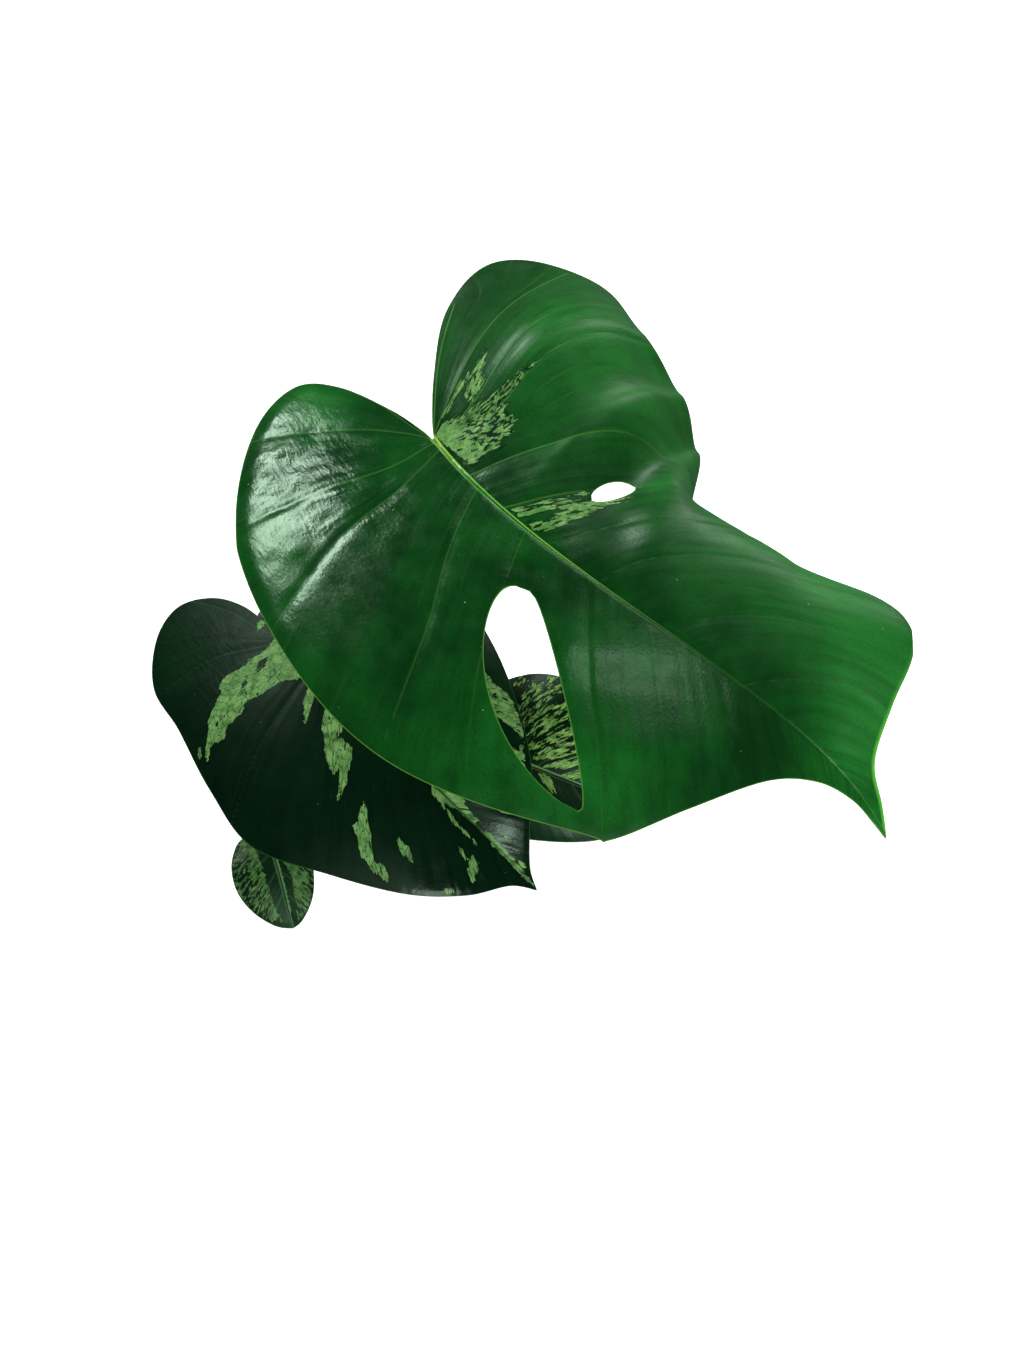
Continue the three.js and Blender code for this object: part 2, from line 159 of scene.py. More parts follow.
# small helpers for the meshes
def newPiece(name, form):
    # a bmesh becomes an object that sits at the origin
    mesh = bpy.data.meshes.new(name)
    form.to_mesh(mesh)
    form.free()
    piece = bpy.data.objects.new(name, mesh)
    bpy.context.scene.collection.objects.link(piece)
    return piece


def readPlaces(mesh):
    places = np.empty(len(mesh.vertices) * 3)
    mesh.vertices.foreach_get("co", places)
    return places.reshape(-1, 3)


def writePlaces(mesh, places):
    mesh.vertices.foreach_set("co", places.ravel())


def writeValues(mesh, values):
    # one number for each point, for the materials to read
    for label, numbers in values.items():
        attribute = mesh.attributes.new(label, "FLOAT", "POINT")
        attribute.data.foreach_set("value", numbers.astype(np.float32))


def smoothOut(form):
    # all faces point outwards and are shaded smooth
    bmesh.ops.recalc_face_normals(form, faces=form.faces[:])
    for face in form.faces:
        face.smooth = True


def finishSheet(mesh):
    # welds the places where grid points met
    form = bmesh.new()
    form.from_mesh(mesh)
    bmesh.ops.remove_doubles(form, verts=form.verts[:], dist=0.00002)
    bmesh.ops.dissolve_degenerate(form, edges=form.edges[:], dist=0.000005)
    smoothOut(form)
    form.to_mesh(mesh)
    form.free()
    mesh.set_sharp_from_angle(angle=math.radians(62))


# leaf blades: flat places are (x along the midrib, y across) in mm, bent as the CAD blades are
leafPlans = {
    "large": {
        "midrib": [(39, -28, 290), (78, -96, 299), (170, -124, 279), (202, -146, 208)],
        "face": [(0.05, -0.25, 1), (0.55, -0.35, 0.75)],
        "rib": 2.6,
        "feet": [0, 0, 0, 0, 0, 2, 8, 25, 50, 81, 110, 140, 170, 200, 220, 233],
        "leftMargin": [(-5, 3), (-22, 15), (-45, 33), (-56, 58), (-46, 84), (-24, 99), (15, 105), (60, 107),
                       (100, 102), (135, 92), (162, 76), (184, 56), (194, 30), (204, 12), (220, 5), (233, 0)],
        "rightMargin": [(-5, 1), (-20, 6), (-40, 17), (-49, 31), (-40, 52), (-14, 74), (22, 89), (68, 95),
                        (126, 76), (135, 72), (151, 48), (170, 23), (188, 10), (206, 4), (222, 2), (233, 0)],
        "leftFolds": [(-50, 14, 40, 58, 50), (0, 32, 50, 60, 34), (40, 12, 51, 56, 27), (70, -8, 51, 50, 29),
                      (95, 11, 72, 41, 28), (140, 8, 82, 48, 26), (185, 17, 80, 57, 18),
                      (233, 7, 65, 36, 20)],
        "rightFolds": [(-50, 8, 25, 60, 60), (60, 8, 25, 60, 60), (120, 6, 35, 60, 60), (200, 4, 40, 40, 40),
                       (233, 2, 40, 40, 40)],
        "leftHoles": [{"row": 8, "start": 0.24, "end": 0.4, "rear": 0.15, "front": 0.08, "round": 0.5,
                       "point": 0.4}],
        "rightHoles": [{"row": 8, "start": 0.24, "end": 0.93, "rear": 0.5, "front": 0.18, "round": 0.4,
                        "point": 0.5}],
        "leftVeins": [
            [(0, 0), (-10, 8), (-26, 20), (-45, 36)], [(0, 0), (-8, 16), (-24, 48), (-42, 84)],
            [(1, 0), (3, 20), (-6, 56), (-14, 100)], [(3, 0), (12, 24), (10, 50), (10, 105)],
            [(22, 0), (34, 25), (60, 62), (98, 104)], [(40, 0), (60, 28), (90, 62), (128, 95)],
            [(61, 0), (75, 22), (108, 50), (152, 84)], [(84, 0), (92, 16), (120, 37), (175, 62)],
            [(113, 0), (124, 14), (148, 30), (188, 46)], [(145, 0), (158, 12), (176, 22), (196, 26)],
            [(180, 0), (194, 7), (206, 11), (212, 12)]],
        "rightVeins": [
            [(0, 0), (-10, 4), (-26, 9), (-42, 18)], [(0, 0), (-8, 9), (-19, 24), (-36, 56)],
            [(2, 0), (4, 20), (0, 46), (-6, 80)], [(6, 0), (13, 22), (16, 50), (24, 92)],
            [(28, 0), (40, 25), (54, 54), (66, 98)], [(52, 0), (60, 20), (72, 52), (92, 92)],
            [(80, 0), (100, 31), (118, 54), (134, 76)], [(106, 0), (122, 22), (136, 40), (148, 56)],
            [(134, 0), (146, 14), (156, 26), (164, 36)], [(164, 0), (174, 8), (182, 14), (188, 18)]],
        "puff": 0.9, "spacing": 1.25, "steps": 84,
        "quilt": {"left": 0.16, "right": 0.13}, "droop": {"left": 0.2, "right": 1.05, "from": 8, "to": 40},
        "crinkle": {"place": (-12, -50), "reach": (40, 30), "height": 0.28},
        "veinShow": {"left": 0.28, "right": 0.14, "from": 25, "to": 90, "end": 0.25},
        # lighter spots: those on the crest and at the tip are painted sheen, the rear lobe's is painted light
        # on a slope turned from the lamps
        "freshAndSheen": [(30, 85, 45, 1.0), (-22, 62, 36, 0.1), (72, 92, 26, 0.8), (125, 72, 40, 0.9),
                  (160, 52, 24, 0.7), (188, 36, 20, 0.9), (200, 8, 25, 0.7), (112, -60, 34, 0.45),
                  (-38, -28, 14, 0.6), (-5, -80, 26, 0.3), (224, -4, 8, 0.8)],
        "patches": [
            {"half": 1, "flecks": 0.62, "outline": [
                (0, 1), (20, 4), (21, 11), (19, 12), (23, 15), (22, 22), (20, 26), (17, 27), (15, 25),
                (14, 28), (11, 27), (11, 33), (9.5, 47), (8, 32), (6, 24), (5, 19), (4, 15), (2, 12), (1, 10),
                (-1, 6)]},
            {"half": 1, "flecks": 0.45, "outline": [
                (2, 19), (-3, 20), (-6, 26), (-8, 32), (-10, 36), (-5, 32), (-2, 29), (2, 24)]},
            {"half": 1, "flecks": 0.4, "outline": [
                (42, 2), (47, 2), (50, 5), (53, 10), (56, 17), (59, 25), (52, 14), (47, 7)]},
            {"half": 1, "flecks": 0.4, "outline": [
                (51, 2), (57, 2), (59, 6), (62, 14), (65, 21), (68, 28), (73, 36), (63, 25), (60, 20),
                (57, 13), (54, 6)]},
            {"half": 1, "flecks": 0.1, "width": 0.5, "stroke": [(-3, 7), (-6, 17), (-8, 25)]},
            {"half": 1, "flecks": 0.3, "width": 0.5, "stroke": [(56, 14), (60, 20), (62, 25)]},
        ],
    },
    "middle": {
        "midrib": [(-21, -49, 185), (10, -88, 191), (56, -120, 166), (77, -126, 120)],
        "face": [(-0.1, -0.4, 1), (0.3, -0.5, 0.7)],
        "rib": 2.0,
        "feet": [0, 0, 0, 0, 2, 6, 14, 30, 52, 76, 100, 122, 140, 151],
        "leftMargin": [(-5, 3), (-18, 14), (-30, 30), (-30, 48), (-14, 62), (8, 68), (30, 68), (58, 61),
                       (84, 48), (104, 34), (118, 19), (130, 9), (140, 3), (151, 0)],
        "rightMargin": [(-9, 0.8), (-26, 3), (-40, 10), (-49, 23), (-46, 39), (-32, 53), (-8, 56), (20, 63),
                        (48, 67), (78, 53), (105, 38), (124, 22), (137, 7), (151, 0)],
        "leftFolds": [(-30, 16, 20, 38, 36), (60, 24, 38, 34, 28), (110, 18, 44, 28, 28),
                      (151, 10, 50, 28, 28)],
        "rightFolds": [(-45, 0, 26, 38, 38), (0, 5, 25, 40, 40), (60, 7, 25, 40, 38), (151, 6, 34, 32, 32)],
        "leftHoles": [], "rightHoles": [],
        "leftVeins": [
            [(0, 0), (-8, 8), (-18, 20), (-28, 36)], [(0, 0), (-4, 16), (-12, 38), (-18, 60)],
            [(4, 0), (8, 22), (14, 46), (22, 68)], [(22, 0), (32, 18), (44, 38), (58, 60)],
            [(44, 0), (56, 15), (72, 34), (88, 46)], [(68, 0), (80, 11), (95, 24), (108, 30)],
            [(92, 0), (102, 7), (113, 14), (122, 17)], [(117, 0), (124, 4), (131, 7), (135, 7)]],
        "rightVeins": [
            [(0, 0), (-14, 5), (-30, 9), (-46, 17)], [(0, 0), (-8, 12), (-18, 26), (-28, 54)],
            [(3, 0), (2, 18), (0, 36), (8, 60)], [(16, 0), (20, 16), (25, 38), (36, 66)],
            [(30, 0), (43, 14), (58, 31), (76, 54)], [(50, 0), (64, 14), (82, 32), (98, 43)],
            [(72, 0), (84, 9), (100, 20), (115, 30)], [(95, 0), (105, 6), (118, 13), (130, 16)],
            [(118, 0), (127, 4), (135, 6), (141, 5)]],
        "puff": 0.6, "spacing": 1.25, "steps": 60,
        "quilt": {"left": 0.22, "right": 0.22}, "droop": {"left": 0.2, "right": 0.2, "from": 40, "to": 100},
        "crinkle": {"place": (-20, -30), "reach": (30, 24), "height": 0.12},
        "veinShow": {"left": 0.1, "right": 0.12, "from": 30, "to": 90, "end": 0.5},
        "freshAndSheen": [(-34, -34, 18, 0.6), (80, 50, 24, 0.5)],
        "patches": [
            {"half": -1, "flecks": 0.16, "outline": [
                (-5, 1), (17, 1), (16, 8), (13, 10), (12, 14), (11, 18), (9, 24), (8, 27), (10, 33), (9, 39),
                (11, 44), (9, 50), (12, 56), (7, 52), (4, 48), (0, 43), (-2, 36), (-4, 32), (-7, 31),
                (-7, 26), (-5, 19), (-4, 13), (-3, 9)]},
            {"half": -1, "dark": True, "width": 0.9, "stroke": [(0, 10), (1, 16)]},
            {"half": -1, "dark": True, "width": 0.7, "stroke": [(1, 22), (2, 25)]},
            {"half": -1, "flecks": 0.1, "width": 0.9, "stroke": [(-15, 1), (-13, 5)]},
            {"half": -1, "flecks": 0.0, "width": 0.6, "stroke": [(5, 54), (9, 57)]},
            {"half": -1, "flecks": 0.1, "width": 1.0, "stroke": [(20, 1), (22, 5), (25, 10), (31, 17)]},
            {"half": -1, "flecks": 0.3, "outline": [
                (28, 1), (40, 1), (44, 12), (51, 11), (55, 18), (58, 22), (61, 30), (57, 26), (53, 21),
                (52, 24), (48, 22), (46, 21), (40, 16), (37, 14), (33, 9)]},
            {"half": -1, "flecks": 0.25, "outline": [
                (67, 23), (75, 28), (83, 35), (87, 37), (89, 36), (94, 37), (96, 39), (92, 40), (85, 40),
                (81, 39), (76, 36), (71, 33), (71, 30)]},
            {"half": -1, "flecks": 0.4, "width": 0.9, "stroke": [(86, 25), (91, 26), (96, 27)]},
            {"half": -1, "flecks": 0.3, "width": 0.4, "stroke": [(106, 11), (113, 12)]},
            {"half": -1, "flecks": 0.3, "width": 1.3, "stroke": [(114, 10), (117, 12), (121, 16)]},
            {"half": -1, "flecks": 0.1, "width": 0.9, "stroke": [(115, 26), (118, 25)]},
            {"half": -1, "flecks": 0.2, "width": 0.35, "stroke": [(89, 3), (101, 5), (112, 5)]},
            {"half": 1, "flecks": 0.2, "outline": [
                (75, 0), (84, 1), (88, 2), (93, 4), (99, 3), (106, 2), (106, -1), (75, -1)]},
            {"half": -1, "flecks": 0.2, "outline": [
                (80, 0), (84, 3), (89, 3), (96, 1), (104, 0), (104, -1), (80, -1)]},
            {"half": 1, "flecks": 0.2, "outline": [
                (108, -1), (112, 2), (126, 1.6), (134, 1), (147, 0.4), (147, -1)]},
            {"half": -1, "flecks": 0.2, "outline": [(112, -1), (118, 1), (131, 0.8), (145, 0.4), (147, -1)]},
            {"half": 1, "flecks": 0.3, "width": 1.0, "stroke": [(98, 8), (107, 12), (112, 14), (116, 18)]},
            {"half": 1, "flecks": 0.3, "width": 0.5, "stroke": [(118, 5), (121, 6)]},
            {"half": 1, "flecks": 0.3, "width": 0.6, "stroke": [(132, 2), (136, 2)]},
            {"half": 1, "flecks": 0.3, "outline": [
                (60, 40), (66, 45), (68, 47), (72, 46), (80, 47), (85, 45), (90, 43), (98, 37), (91, 38),
                (86, 37), (81, 36), (76, 33), (66, 30)]},
            {"half": 1, "flecks": 0.3, "outline": [
                (84, 28), (97, 33), (97, 36), (105, 29), (98, 22), (88, 22)]},
        ],
    },
    "back": {
        "midrib": [(63, -75, 138), (84, -85, 144), (108, -91, 125), (124, -82, 112)],
        "face": [(0.1, -0.4, 1), (0.3, -0.5, 0.8)],
        "rib": 1.4,
        "feet": [0, 0, 0, 0, 5, 16, 31, 47, 60, 70],
        "leftMargin": [(-3, 1), (-12, 6), (-17, 18), (-10, 30), (8, 38), (27, 36), (44, 26), (57, 13),
                       (65, 4), (70, 0)],
        "rightMargin": [(-3, 1), (-12, 6), (-17, 17), (-12, 28), (2, 33), (22, 31), (42, 22), (56, 13),
                        (65, 4), (70, 0)],
        "leftFolds": [(-15, 12, 10, 16, 20), (25, 18, 8, 22, 20), (70, 12, 25, 20, 20)],
        "rightFolds": [(-15, 9, 35, 18, 16), (25, 20, 45, 16, 12), (70, 14, 36, 15, 12)],
        "leftHoles": [], "rightHoles": [],
        "leftVeins": [
            [(0, 0), (-5, 8), (-10, 16), (-13, 24)], [(0, 0), (1, 14), (4, 26), (8, 38)],
            [(5, 0), (10, 14), (17, 26), (25, 36)], [(14, 0), (21, 9), (31, 19), (40, 28)],
            [(26, 0), (34, 7), (44, 15), (52, 18)], [(40, 0), (47, 5), (55, 9), (61, 9)]],
        "rightVeins": [
            [(0, 0), (-5, 8), (-10, 16), (-13, 22)], [(0, 0), (1, 12), (2, 22), (4, 33)],
            [(6, 0), (11, 12), (17, 22), (24, 31)], [(16, 0), (23, 8), (32, 17), (40, 23)],
            [(29, 0), (36, 6), (45, 12), (52, 16)], [(43, 0), (49, 4), (56, 7), (61, 8)]],
        "puff": 0.35, "spacing": 0.8, "steps": 44,
        "quilt": {"left": 0.2, "right": 0.2}, "droop": {"left": 0.1, "right": 0.1, "from": 20, "to": 60},
        "crinkle": None,
        "veinShow": {"left": 0.15, "right": 0.2, "from": 20, "to": 60, "end": 0.6},
        "freshAndSheen": [(30, -20, 20, 0.5)],
        "patches": [
            {"half": 1, "flecks": 0.6, "width": 1.3, "stroke": [(1, 20), (5, 31), (9, 37)]},
            {"half": 1, "flecks": 0.6, "width": 1.4, "stroke": [(3, 15), (8, 27), (14, 37)]},
            {"half": 1, "flecks": 0.6, "width": 1.1, "stroke": [(4, 12), (11, 23), (19, 33)]},
            {"half": 1, "flecks": 0.6, "width": 1.5, "stroke": [(6, 9), (13, 19), (22, 29)]},
            {"half": 1, "flecks": 0.6, "width": 1.2, "stroke": [(8, 5), (16, 13), (27, 24)]},
            {"half": 1, "flecks": 0.6, "width": 2.0, "stroke": [(13, 4), (21, 11), (32, 20)]},
            {"half": 1, "flecks": 0.6, "width": 1.2, "stroke": [(18, 2), (30, 10), (39, 16)]},
            {"half": 1, "flecks": 0.4, "width": 1.2, "stroke": [(26, 1), (35, 6), (44, 9)]},
            {"half": 1, "flecks": 0.4, "width": 1.0, "stroke": [(-4, 30), (0, 33)]},
            {"half": -1, "flecks": 0.1, "width": 1.2, "stroke": [(17, 2), (21, 4), (24, 6)]},
        ],
    },
    "small": {
        "midrib": [(-34, -92, 98), (-29, -105, 100), (-26, -118, 88), (-24, -123, 76)],
        "face": [(0, -0.4, 1), (0.1, -0.7, 0.7)],
        "rib": 1.0,
        "feet": [0, 0, 0, 4, 12, 22, 33, 42],
        "leftMargin": [(-2, 1.2), (-5, 5), (-3, 13), (6, 16), (17, 16), (28, 12), (38, 5), (42, 0)],
        "rightMargin": [(-2, 1.2), (-5, 5), (-3, 13), (6, 18), (18, 19), (29, 15), (38, 7), (42, 0)],
        "leftFolds": [(-5, 10, 55, 10, 10), (20, 12, 60, 9, 9), (42, 11, 35, 10, 10)],
        "rightFolds": [(-5, 6, 8, 10, 10), (20, 9, 10, 10, 10), (42, 10, 25, 10, 10)],
        "leftHoles": [], "rightHoles": [],
        "leftVeins": [
            [(0, 0), (-2, 4), (-3, 8), (-4, 11)], [(0, 0), (1, 6), (3, 11), (6, 16)],
            [(6, 0), (10, 5), (14, 10), (19, 15)], [(14, 0), (19, 4), (24, 8), (29, 12)],
            [(24, 0), (28, 3), (33, 5), (37, 6)]],
        "rightVeins": [
            [(0, 0), (-2, 4), (-3, 8), (-4, 11)], [(0, 0), (1, 6), (3, 12), (6, 18)],
            [(6, 0), (10, 6), (14, 12), (19, 19)], [(14, 0), (19, 5), (24, 10), (30, 14)],
            [(24, 0), (28, 3), (33, 6), (37, 8)]],
        "puff": 0.2, "spacing": 0.6, "steps": 34,
        "quilt": {"left": 0.2, "right": 0.2}, "droop": {"left": 0.1, "right": 0.1, "from": 20, "to": 60},
        "crinkle": None,
        "veinShow": {"left": 0.15, "right": 0.15, "from": 10, "to": 40, "end": 0.6},
        "freshAndSheen": [(34, 8, 14, 0.8)],
        "patches": [
            {"half": 1, "flecks": 0.62, "outline": [
                (-5, 2), (4, 2), (16, 5), (26, 4), (38, 3), (30, 12), (18, 16), (6, 16), (-3, 13)]},
            {"half": 1, "flecks": 0.1, "outline": [(12, 3), (18, 5), (25, 8), (22, 10), (15, 8), (11, 5)]},
            {"half": -1, "flecks": 0.66, "outline": [
                (-5, 3), (6, 6), (18, 6), (30, 5), (38, 3), (30, 15), (18, 19), (6, 18), (-3, 13)]},
            {"half": 1, "flecks": 0.1, "width": 0.5, "stroke": [(2, 0.3), (16, 0.5), (30, 0.6), (40, 0.3)]},
        ],
    },
}


curveSteps = 400  # how finely a midrib or the stem's line is measured


def throughPoints(values, place):
    # Catmull-Rom value through a list, at a place counted in list steps
    values = np.asarray(values, float)
    last = len(values) - 1
    step = np.clip(np.floor(place).astype(int), 0, last - 1)
    t = place - step
    a, b, c, d = (values[np.clip(step + shift, 0, last)] for shift in (-1, 0, 1, 2))
    return 0.5 * (2 * b + (c - a) * t + (2 * a - 5 * b + 4 * c - d) * t * t
                  + (3 * b - a - 3 * c + d) * t ** 3)


def throughPairs(pairs, place):
    return [throughPoints([pair[axis] for pair in pairs], place) for axis in (0, 1)]


def smoothShare(value, low, high):
    t = np.clip((value - low) / (high - low), 0, 1)
    return t * t * (3 - 2 * t)


def bell(value, reach):
    return np.exp(-(value / reach) ** 2)


def bySide(half, values):
    return np.where(half > 0, values["left"], values["right"])


def unitRows(rows):
    return rows / np.linalg.norm(rows, axis=1)[:, None]


def readFolds(table, x):
    table = np.asarray(table, float)
    row = np.clip(np.searchsorted(table[:, 0], x, side="right") - 1, 0, len(table) - 2)
    t = smoothShare(x, table[row, 0], table[row + 1, 0])[:, None]
    return (table[row, 1:] * (1 - t) + table[row + 1, 1:] * t).T


def lengthsAlong(points):
    return np.concatenate([[0], np.cumsum(np.linalg.norm(np.diff(points, axis=0), axis=1))])


def atLengths(lengths, reach, values):
    return np.stack([np.interp(lengths, reach, values[:, axis]) for axis in range(3)], axis=1)


def midribPlaces(plan, along):
    # points and directions at shares of the midrib's length
    corners = np.asarray(plan["midrib"], float)
    t = np.linspace(0, 1, curveSteps + 1)[:, None]
    points = ((1 - t) ** 3 * corners[0] + 3 * (1 - t) ** 2 * t * corners[1] + 3 * (1 - t) * t * t * corners[2]
              + t ** 3 * corners[3])
    reach = lengthsAlong(points)
    place = np.interp(along * reach[-1], reach, t[:, 0])[:, None]
    middle = atLengths(place[:, 0], t[:, 0], points)
    sides = np.diff(corners, axis=0)
    tangent = (1 - place) ** 2 * sides[0] + 2 * (1 - place) * place * sides[1] + place ** 2 * sides[2]
    return middle, unitRows(tangent)


def bladePlaces(plan, x, y, half):
    # where flat places lie in space; half is 1 on the leaf's left and -1 on its right
    along = np.clip(x / plan["feet"][-1], 0, 1)
    middle, tangent = midribPlaces(plan, along)
    middle = middle + tangent * np.minimum(x, 0)[:, None]
    first, last = (np.asarray(face, float) / np.linalg.norm(face) for face in plan["face"])
    normal = first + (last - first) * along[:, None]
    normal = unitRows(normal - tangent * np.sum(normal * tangent, axis=1)[:, None])
    across = np.cross(normal, tangent) * half[:, None]
    folds = {side: readFolds(plan[f"{side}Folds"], x) for side in ("left", "right")}
    rise, drop, crest, turn = bySide(half, folds)
    pieces = 12
    piece = y / pieces
    for count in range(pieces):
        turned = smoothShare(piece * (count + 0.5), crest - turn, crest + turn)
        angle = np.radians(rise - (rise + drop) * turned)
        middle = middle + across * (piece * np.cos(angle))[:, None]
        middle = middle + normal * (piece * np.sin(angle))[:, None]
    return middle


def bladeNormals(plan, x, y, half):
    step = 0.5
    alongX = bladePlaces(plan, x + step, y, half) - bladePlaces(plan, x - step, y, half)
    alongY = bladePlaces(plan, x, y + step, half) - bladePlaces(plan, x, y, half)
    return unitRows(np.cross(alongX, alongY) * half[:, None])


def holesOf(plan):
    return [(side, hole) for side, key in ((1, "leftHoles"), (-1, "rightHoles")) for hole in plan[key]]


def holeReach(hole, share):
    q = np.clip((share - hole["start"]) / (hole["end"] - hole["start"]), 0, 1)
    widest = hole["round"] / (hole["round"] + hole["point"])
    return (q / widest) ** hole["round"] * ((1 - q) / (1 - widest)) ** hole["point"]


def flatPlaces(plan, row, share, half):
    # vein rows are moved aside by the holes, then read in the plan's margins
    moved = row.copy()
    for side, hole in holesOf(plan):
        away = row - hole["row"]
        width = np.where(away < 0, hole["rear"], hole["front"])
        shift = np.sign(away) * width * holeReach(hole, share) * (1 - np.abs(away))
        moved = moved + np.where((half == side) & (np.abs(away) < 1), shift, 0)
    foot = np.maximum(0, throughPoints(plan["feet"], moved))
    margins = {side: throughPairs(plan[f"{side}Margin"], moved) for side in ("left", "right")}
    marginX, marginY = bySide(half, margins)
    return foot + (marginX - foot) * share, marginY * share


def routeDistance(x, y, route):
    # distance to a line of points, its sign on the side of growing x, and the length run along it
    best = np.full(len(x), 1e9)
    sign = np.ones(len(x))
    run = np.zeros(len(x))
    before = 0.0
    for start, end in zip(route[:-1], route[1:]):
        dx, dy = end[0] - start[0], end[1] - start[1]
        size = math.hypot(dx, dy)
        t = np.clip(((x - start[0]) * dx + (y - start[1]) * dy) / size ** 2, 0, 1)
        away = np.hypot(x - start[0] - t * dx, y - start[1] - t * dy)
        nearer = away < best
        best = np.where(nearer, away, best)
        sign = np.where(nearer, np.sign((x - start[0]) * dy - (y - start[1]) * dx), sign)
        run = np.where(nearer, before + t * size, run)
        before += size
    return best, sign, run


def smoothRoute(route, pieces=4):
    places = np.linspace(0, len(route) - 1, (len(route) - 1) * pieces + 1)
    return list(zip(*throughPairs(route, places)))


def outlineDepth(x, y, outline):
    # how far inside an outline a flat place lies, negative outside it
    closed = outline + outline[:1]
    away = routeDistance(x, y, closed)[0]
    inside = np.zeros(len(x), bool)
    for (x0, y0), (x1, y1) in zip(closed[:-1], closed[1:]):
        if y0 == y1:
            continue
        crosses = (y0 > y) != (y1 > y)
        inside ^= crosses & (x < x0 + (y - y0) * (x1 - x0) / (y1 - y0))
    return np.where(inside, away, -away)


def strokeDepth(x, y, stroke, width):
    # the same for a brush stroke along a route, thin at its ends and plump in the middle
    thin, plump, ends = 0.35, 1.3, (0.03, 0.9)
    away, _, run = routeDistance(x, y, stroke)
    length = sum(math.dist(a, b) for a, b in zip(stroke[:-1], stroke[1:]))
    return width * (thin + plump * np.sin(math.pi * np.clip(run / length, *ends))) - away


def paleDepth(plan, x, y, half):
    farOutside = -30.0
    depth = np.full(len(x), farOutside)
    flecks = np.zeros(len(x))
    for patch in plan["patches"]:
        if "stroke" in patch:
            here = strokeDepth(x, y, patch["stroke"], patch["width"])
        else:
            here = outlineDepth(x, y, patch["outline"])
        here = np.where(half == patch["half"], here, farOutside)
        if patch.get("dark"):
            depth = np.minimum(depth, -here)
        else:
            flecks = np.where(here > depth, patch["flecks"], flecks)
            depth = np.maximum(depth, here)
    return depth, flecks


def veinField(plan, x, y, half):
    # distance to the nearest side vein, and a place counted in veins from the rear one
    lastGap = 12  # mm that count as one vein beyond the first and the last
    rightStart = 40  # keeps the right half's counts apart from the left half's
    nearest = np.full(len(x), 1e9)
    count = np.zeros(len(x))
    for side, key, startCount in ((1, "leftVeins", 0), (-1, "rightVeins", rightStart)):
        mine = half == side
        signed = []
        for vein in plan[key]:
            away, sign, _ = routeDistance(x[mine], y[mine], smoothRoute(vein))
            signed.append(away * sign)
        signed = np.array(signed)
        number = np.zeros(mine.sum())
        for index, (rear, front) in enumerate(zip(signed[:-1], signed[1:])):
            between = (rear >= 0) & (front < 0)
            number = np.where(between, index + rear / (rear - front + 1e-6), number)
        number = np.where(signed[0] < 0, signed[0] / lastGap, number)
        number = np.where(signed[-1] >= 0, len(signed) - 1 + signed[-1] / lastGap, number)
        nearest[mine] = np.abs(signed).min(axis=0)
        count[mine] = number + startCount
    return nearest, count


def waves(x, y, seed, size):
    # a soft rolling pattern about 1 high, made of a few sine waves
    waveCount = 9
    draw = random.Random(seed)
    total = np.zeros(len(x))
    for _ in range(waveCount):
        turn = draw.uniform(0, math.pi)
        length = size * draw.uniform(0.6, 1.6)
        phase = draw.uniform(0, 2 * math.pi)
        total += np.sin((x * math.cos(turn) + y * math.sin(turn)) * 2 * math.pi / length + phase)
    return total / math.sqrt(waveCount)


def crinkleCover(plan, x, y, half):
    if not plan["crinkle"]:
        return np.zeros(len(x))
    (placeX, placeY), (reachX, reachY) = plan["crinkle"]["place"], plan["crinkle"]["reach"]
    return np.exp(-((x - placeX) / reachX) ** 2 - ((y * half - placeY) / reachY) ** 2)


def freshAndSheenShare(plan, x, y, half):
    # where the green is lighter, from round spots (x, y, reach, share): fresher green in part, and painted
    # sheen and painted light where spots lie on the crest, the tip and slopes turned from the lamps
    total = np.zeros(len(x))
    for placeX, placeY, reach, share in plan["freshAndSheen"]:
        total += share * np.exp(-((x - placeX) ** 2 + (y * half - placeY) ** 2) / reach ** 2)
    return np.minimum(total, 1)


# relief and thickness that the blades share: mm, and ranges in mm over which a thing sets in;
# a taper is a share at the leaf's tip, and what is added to it at the foot
sheetPlan = {"quiltFromRib": (1, 14), "quiltFromEdge": (0, 9), "quiltFullness": 0.8, "veinCut": 0.22,
             "veinCutReach": 1.5, "veinCutFromRib": (0, 4), "droopRange": (0, 7), "droopBend": 1.5,
             "swell": 0.22, "swellWave": (3, 26), "ripples": [(1, 11, 24), (0.3, 12, 9)],
             "rimHalfThick": 0.22, "addedHalfThick": 0.16, "thickFromEdge": (0, 3),
             "widthTaper": (0.5, 0.5), "depthTaper": (0.2, 0.65), "grooveTaper": (0.4, 0.6),
             "ribStart": (-6, 0), "grooveStart": (-4, 1), "groove": 0.35, "grooveReach": 0.35,
             "veinRidge": 0.45, "veinRidgeReach": 0.7, "ridgeFromEdge": (0, 12), "ridgeFromRib": (0, 5),
             "runAlong": 0.2}


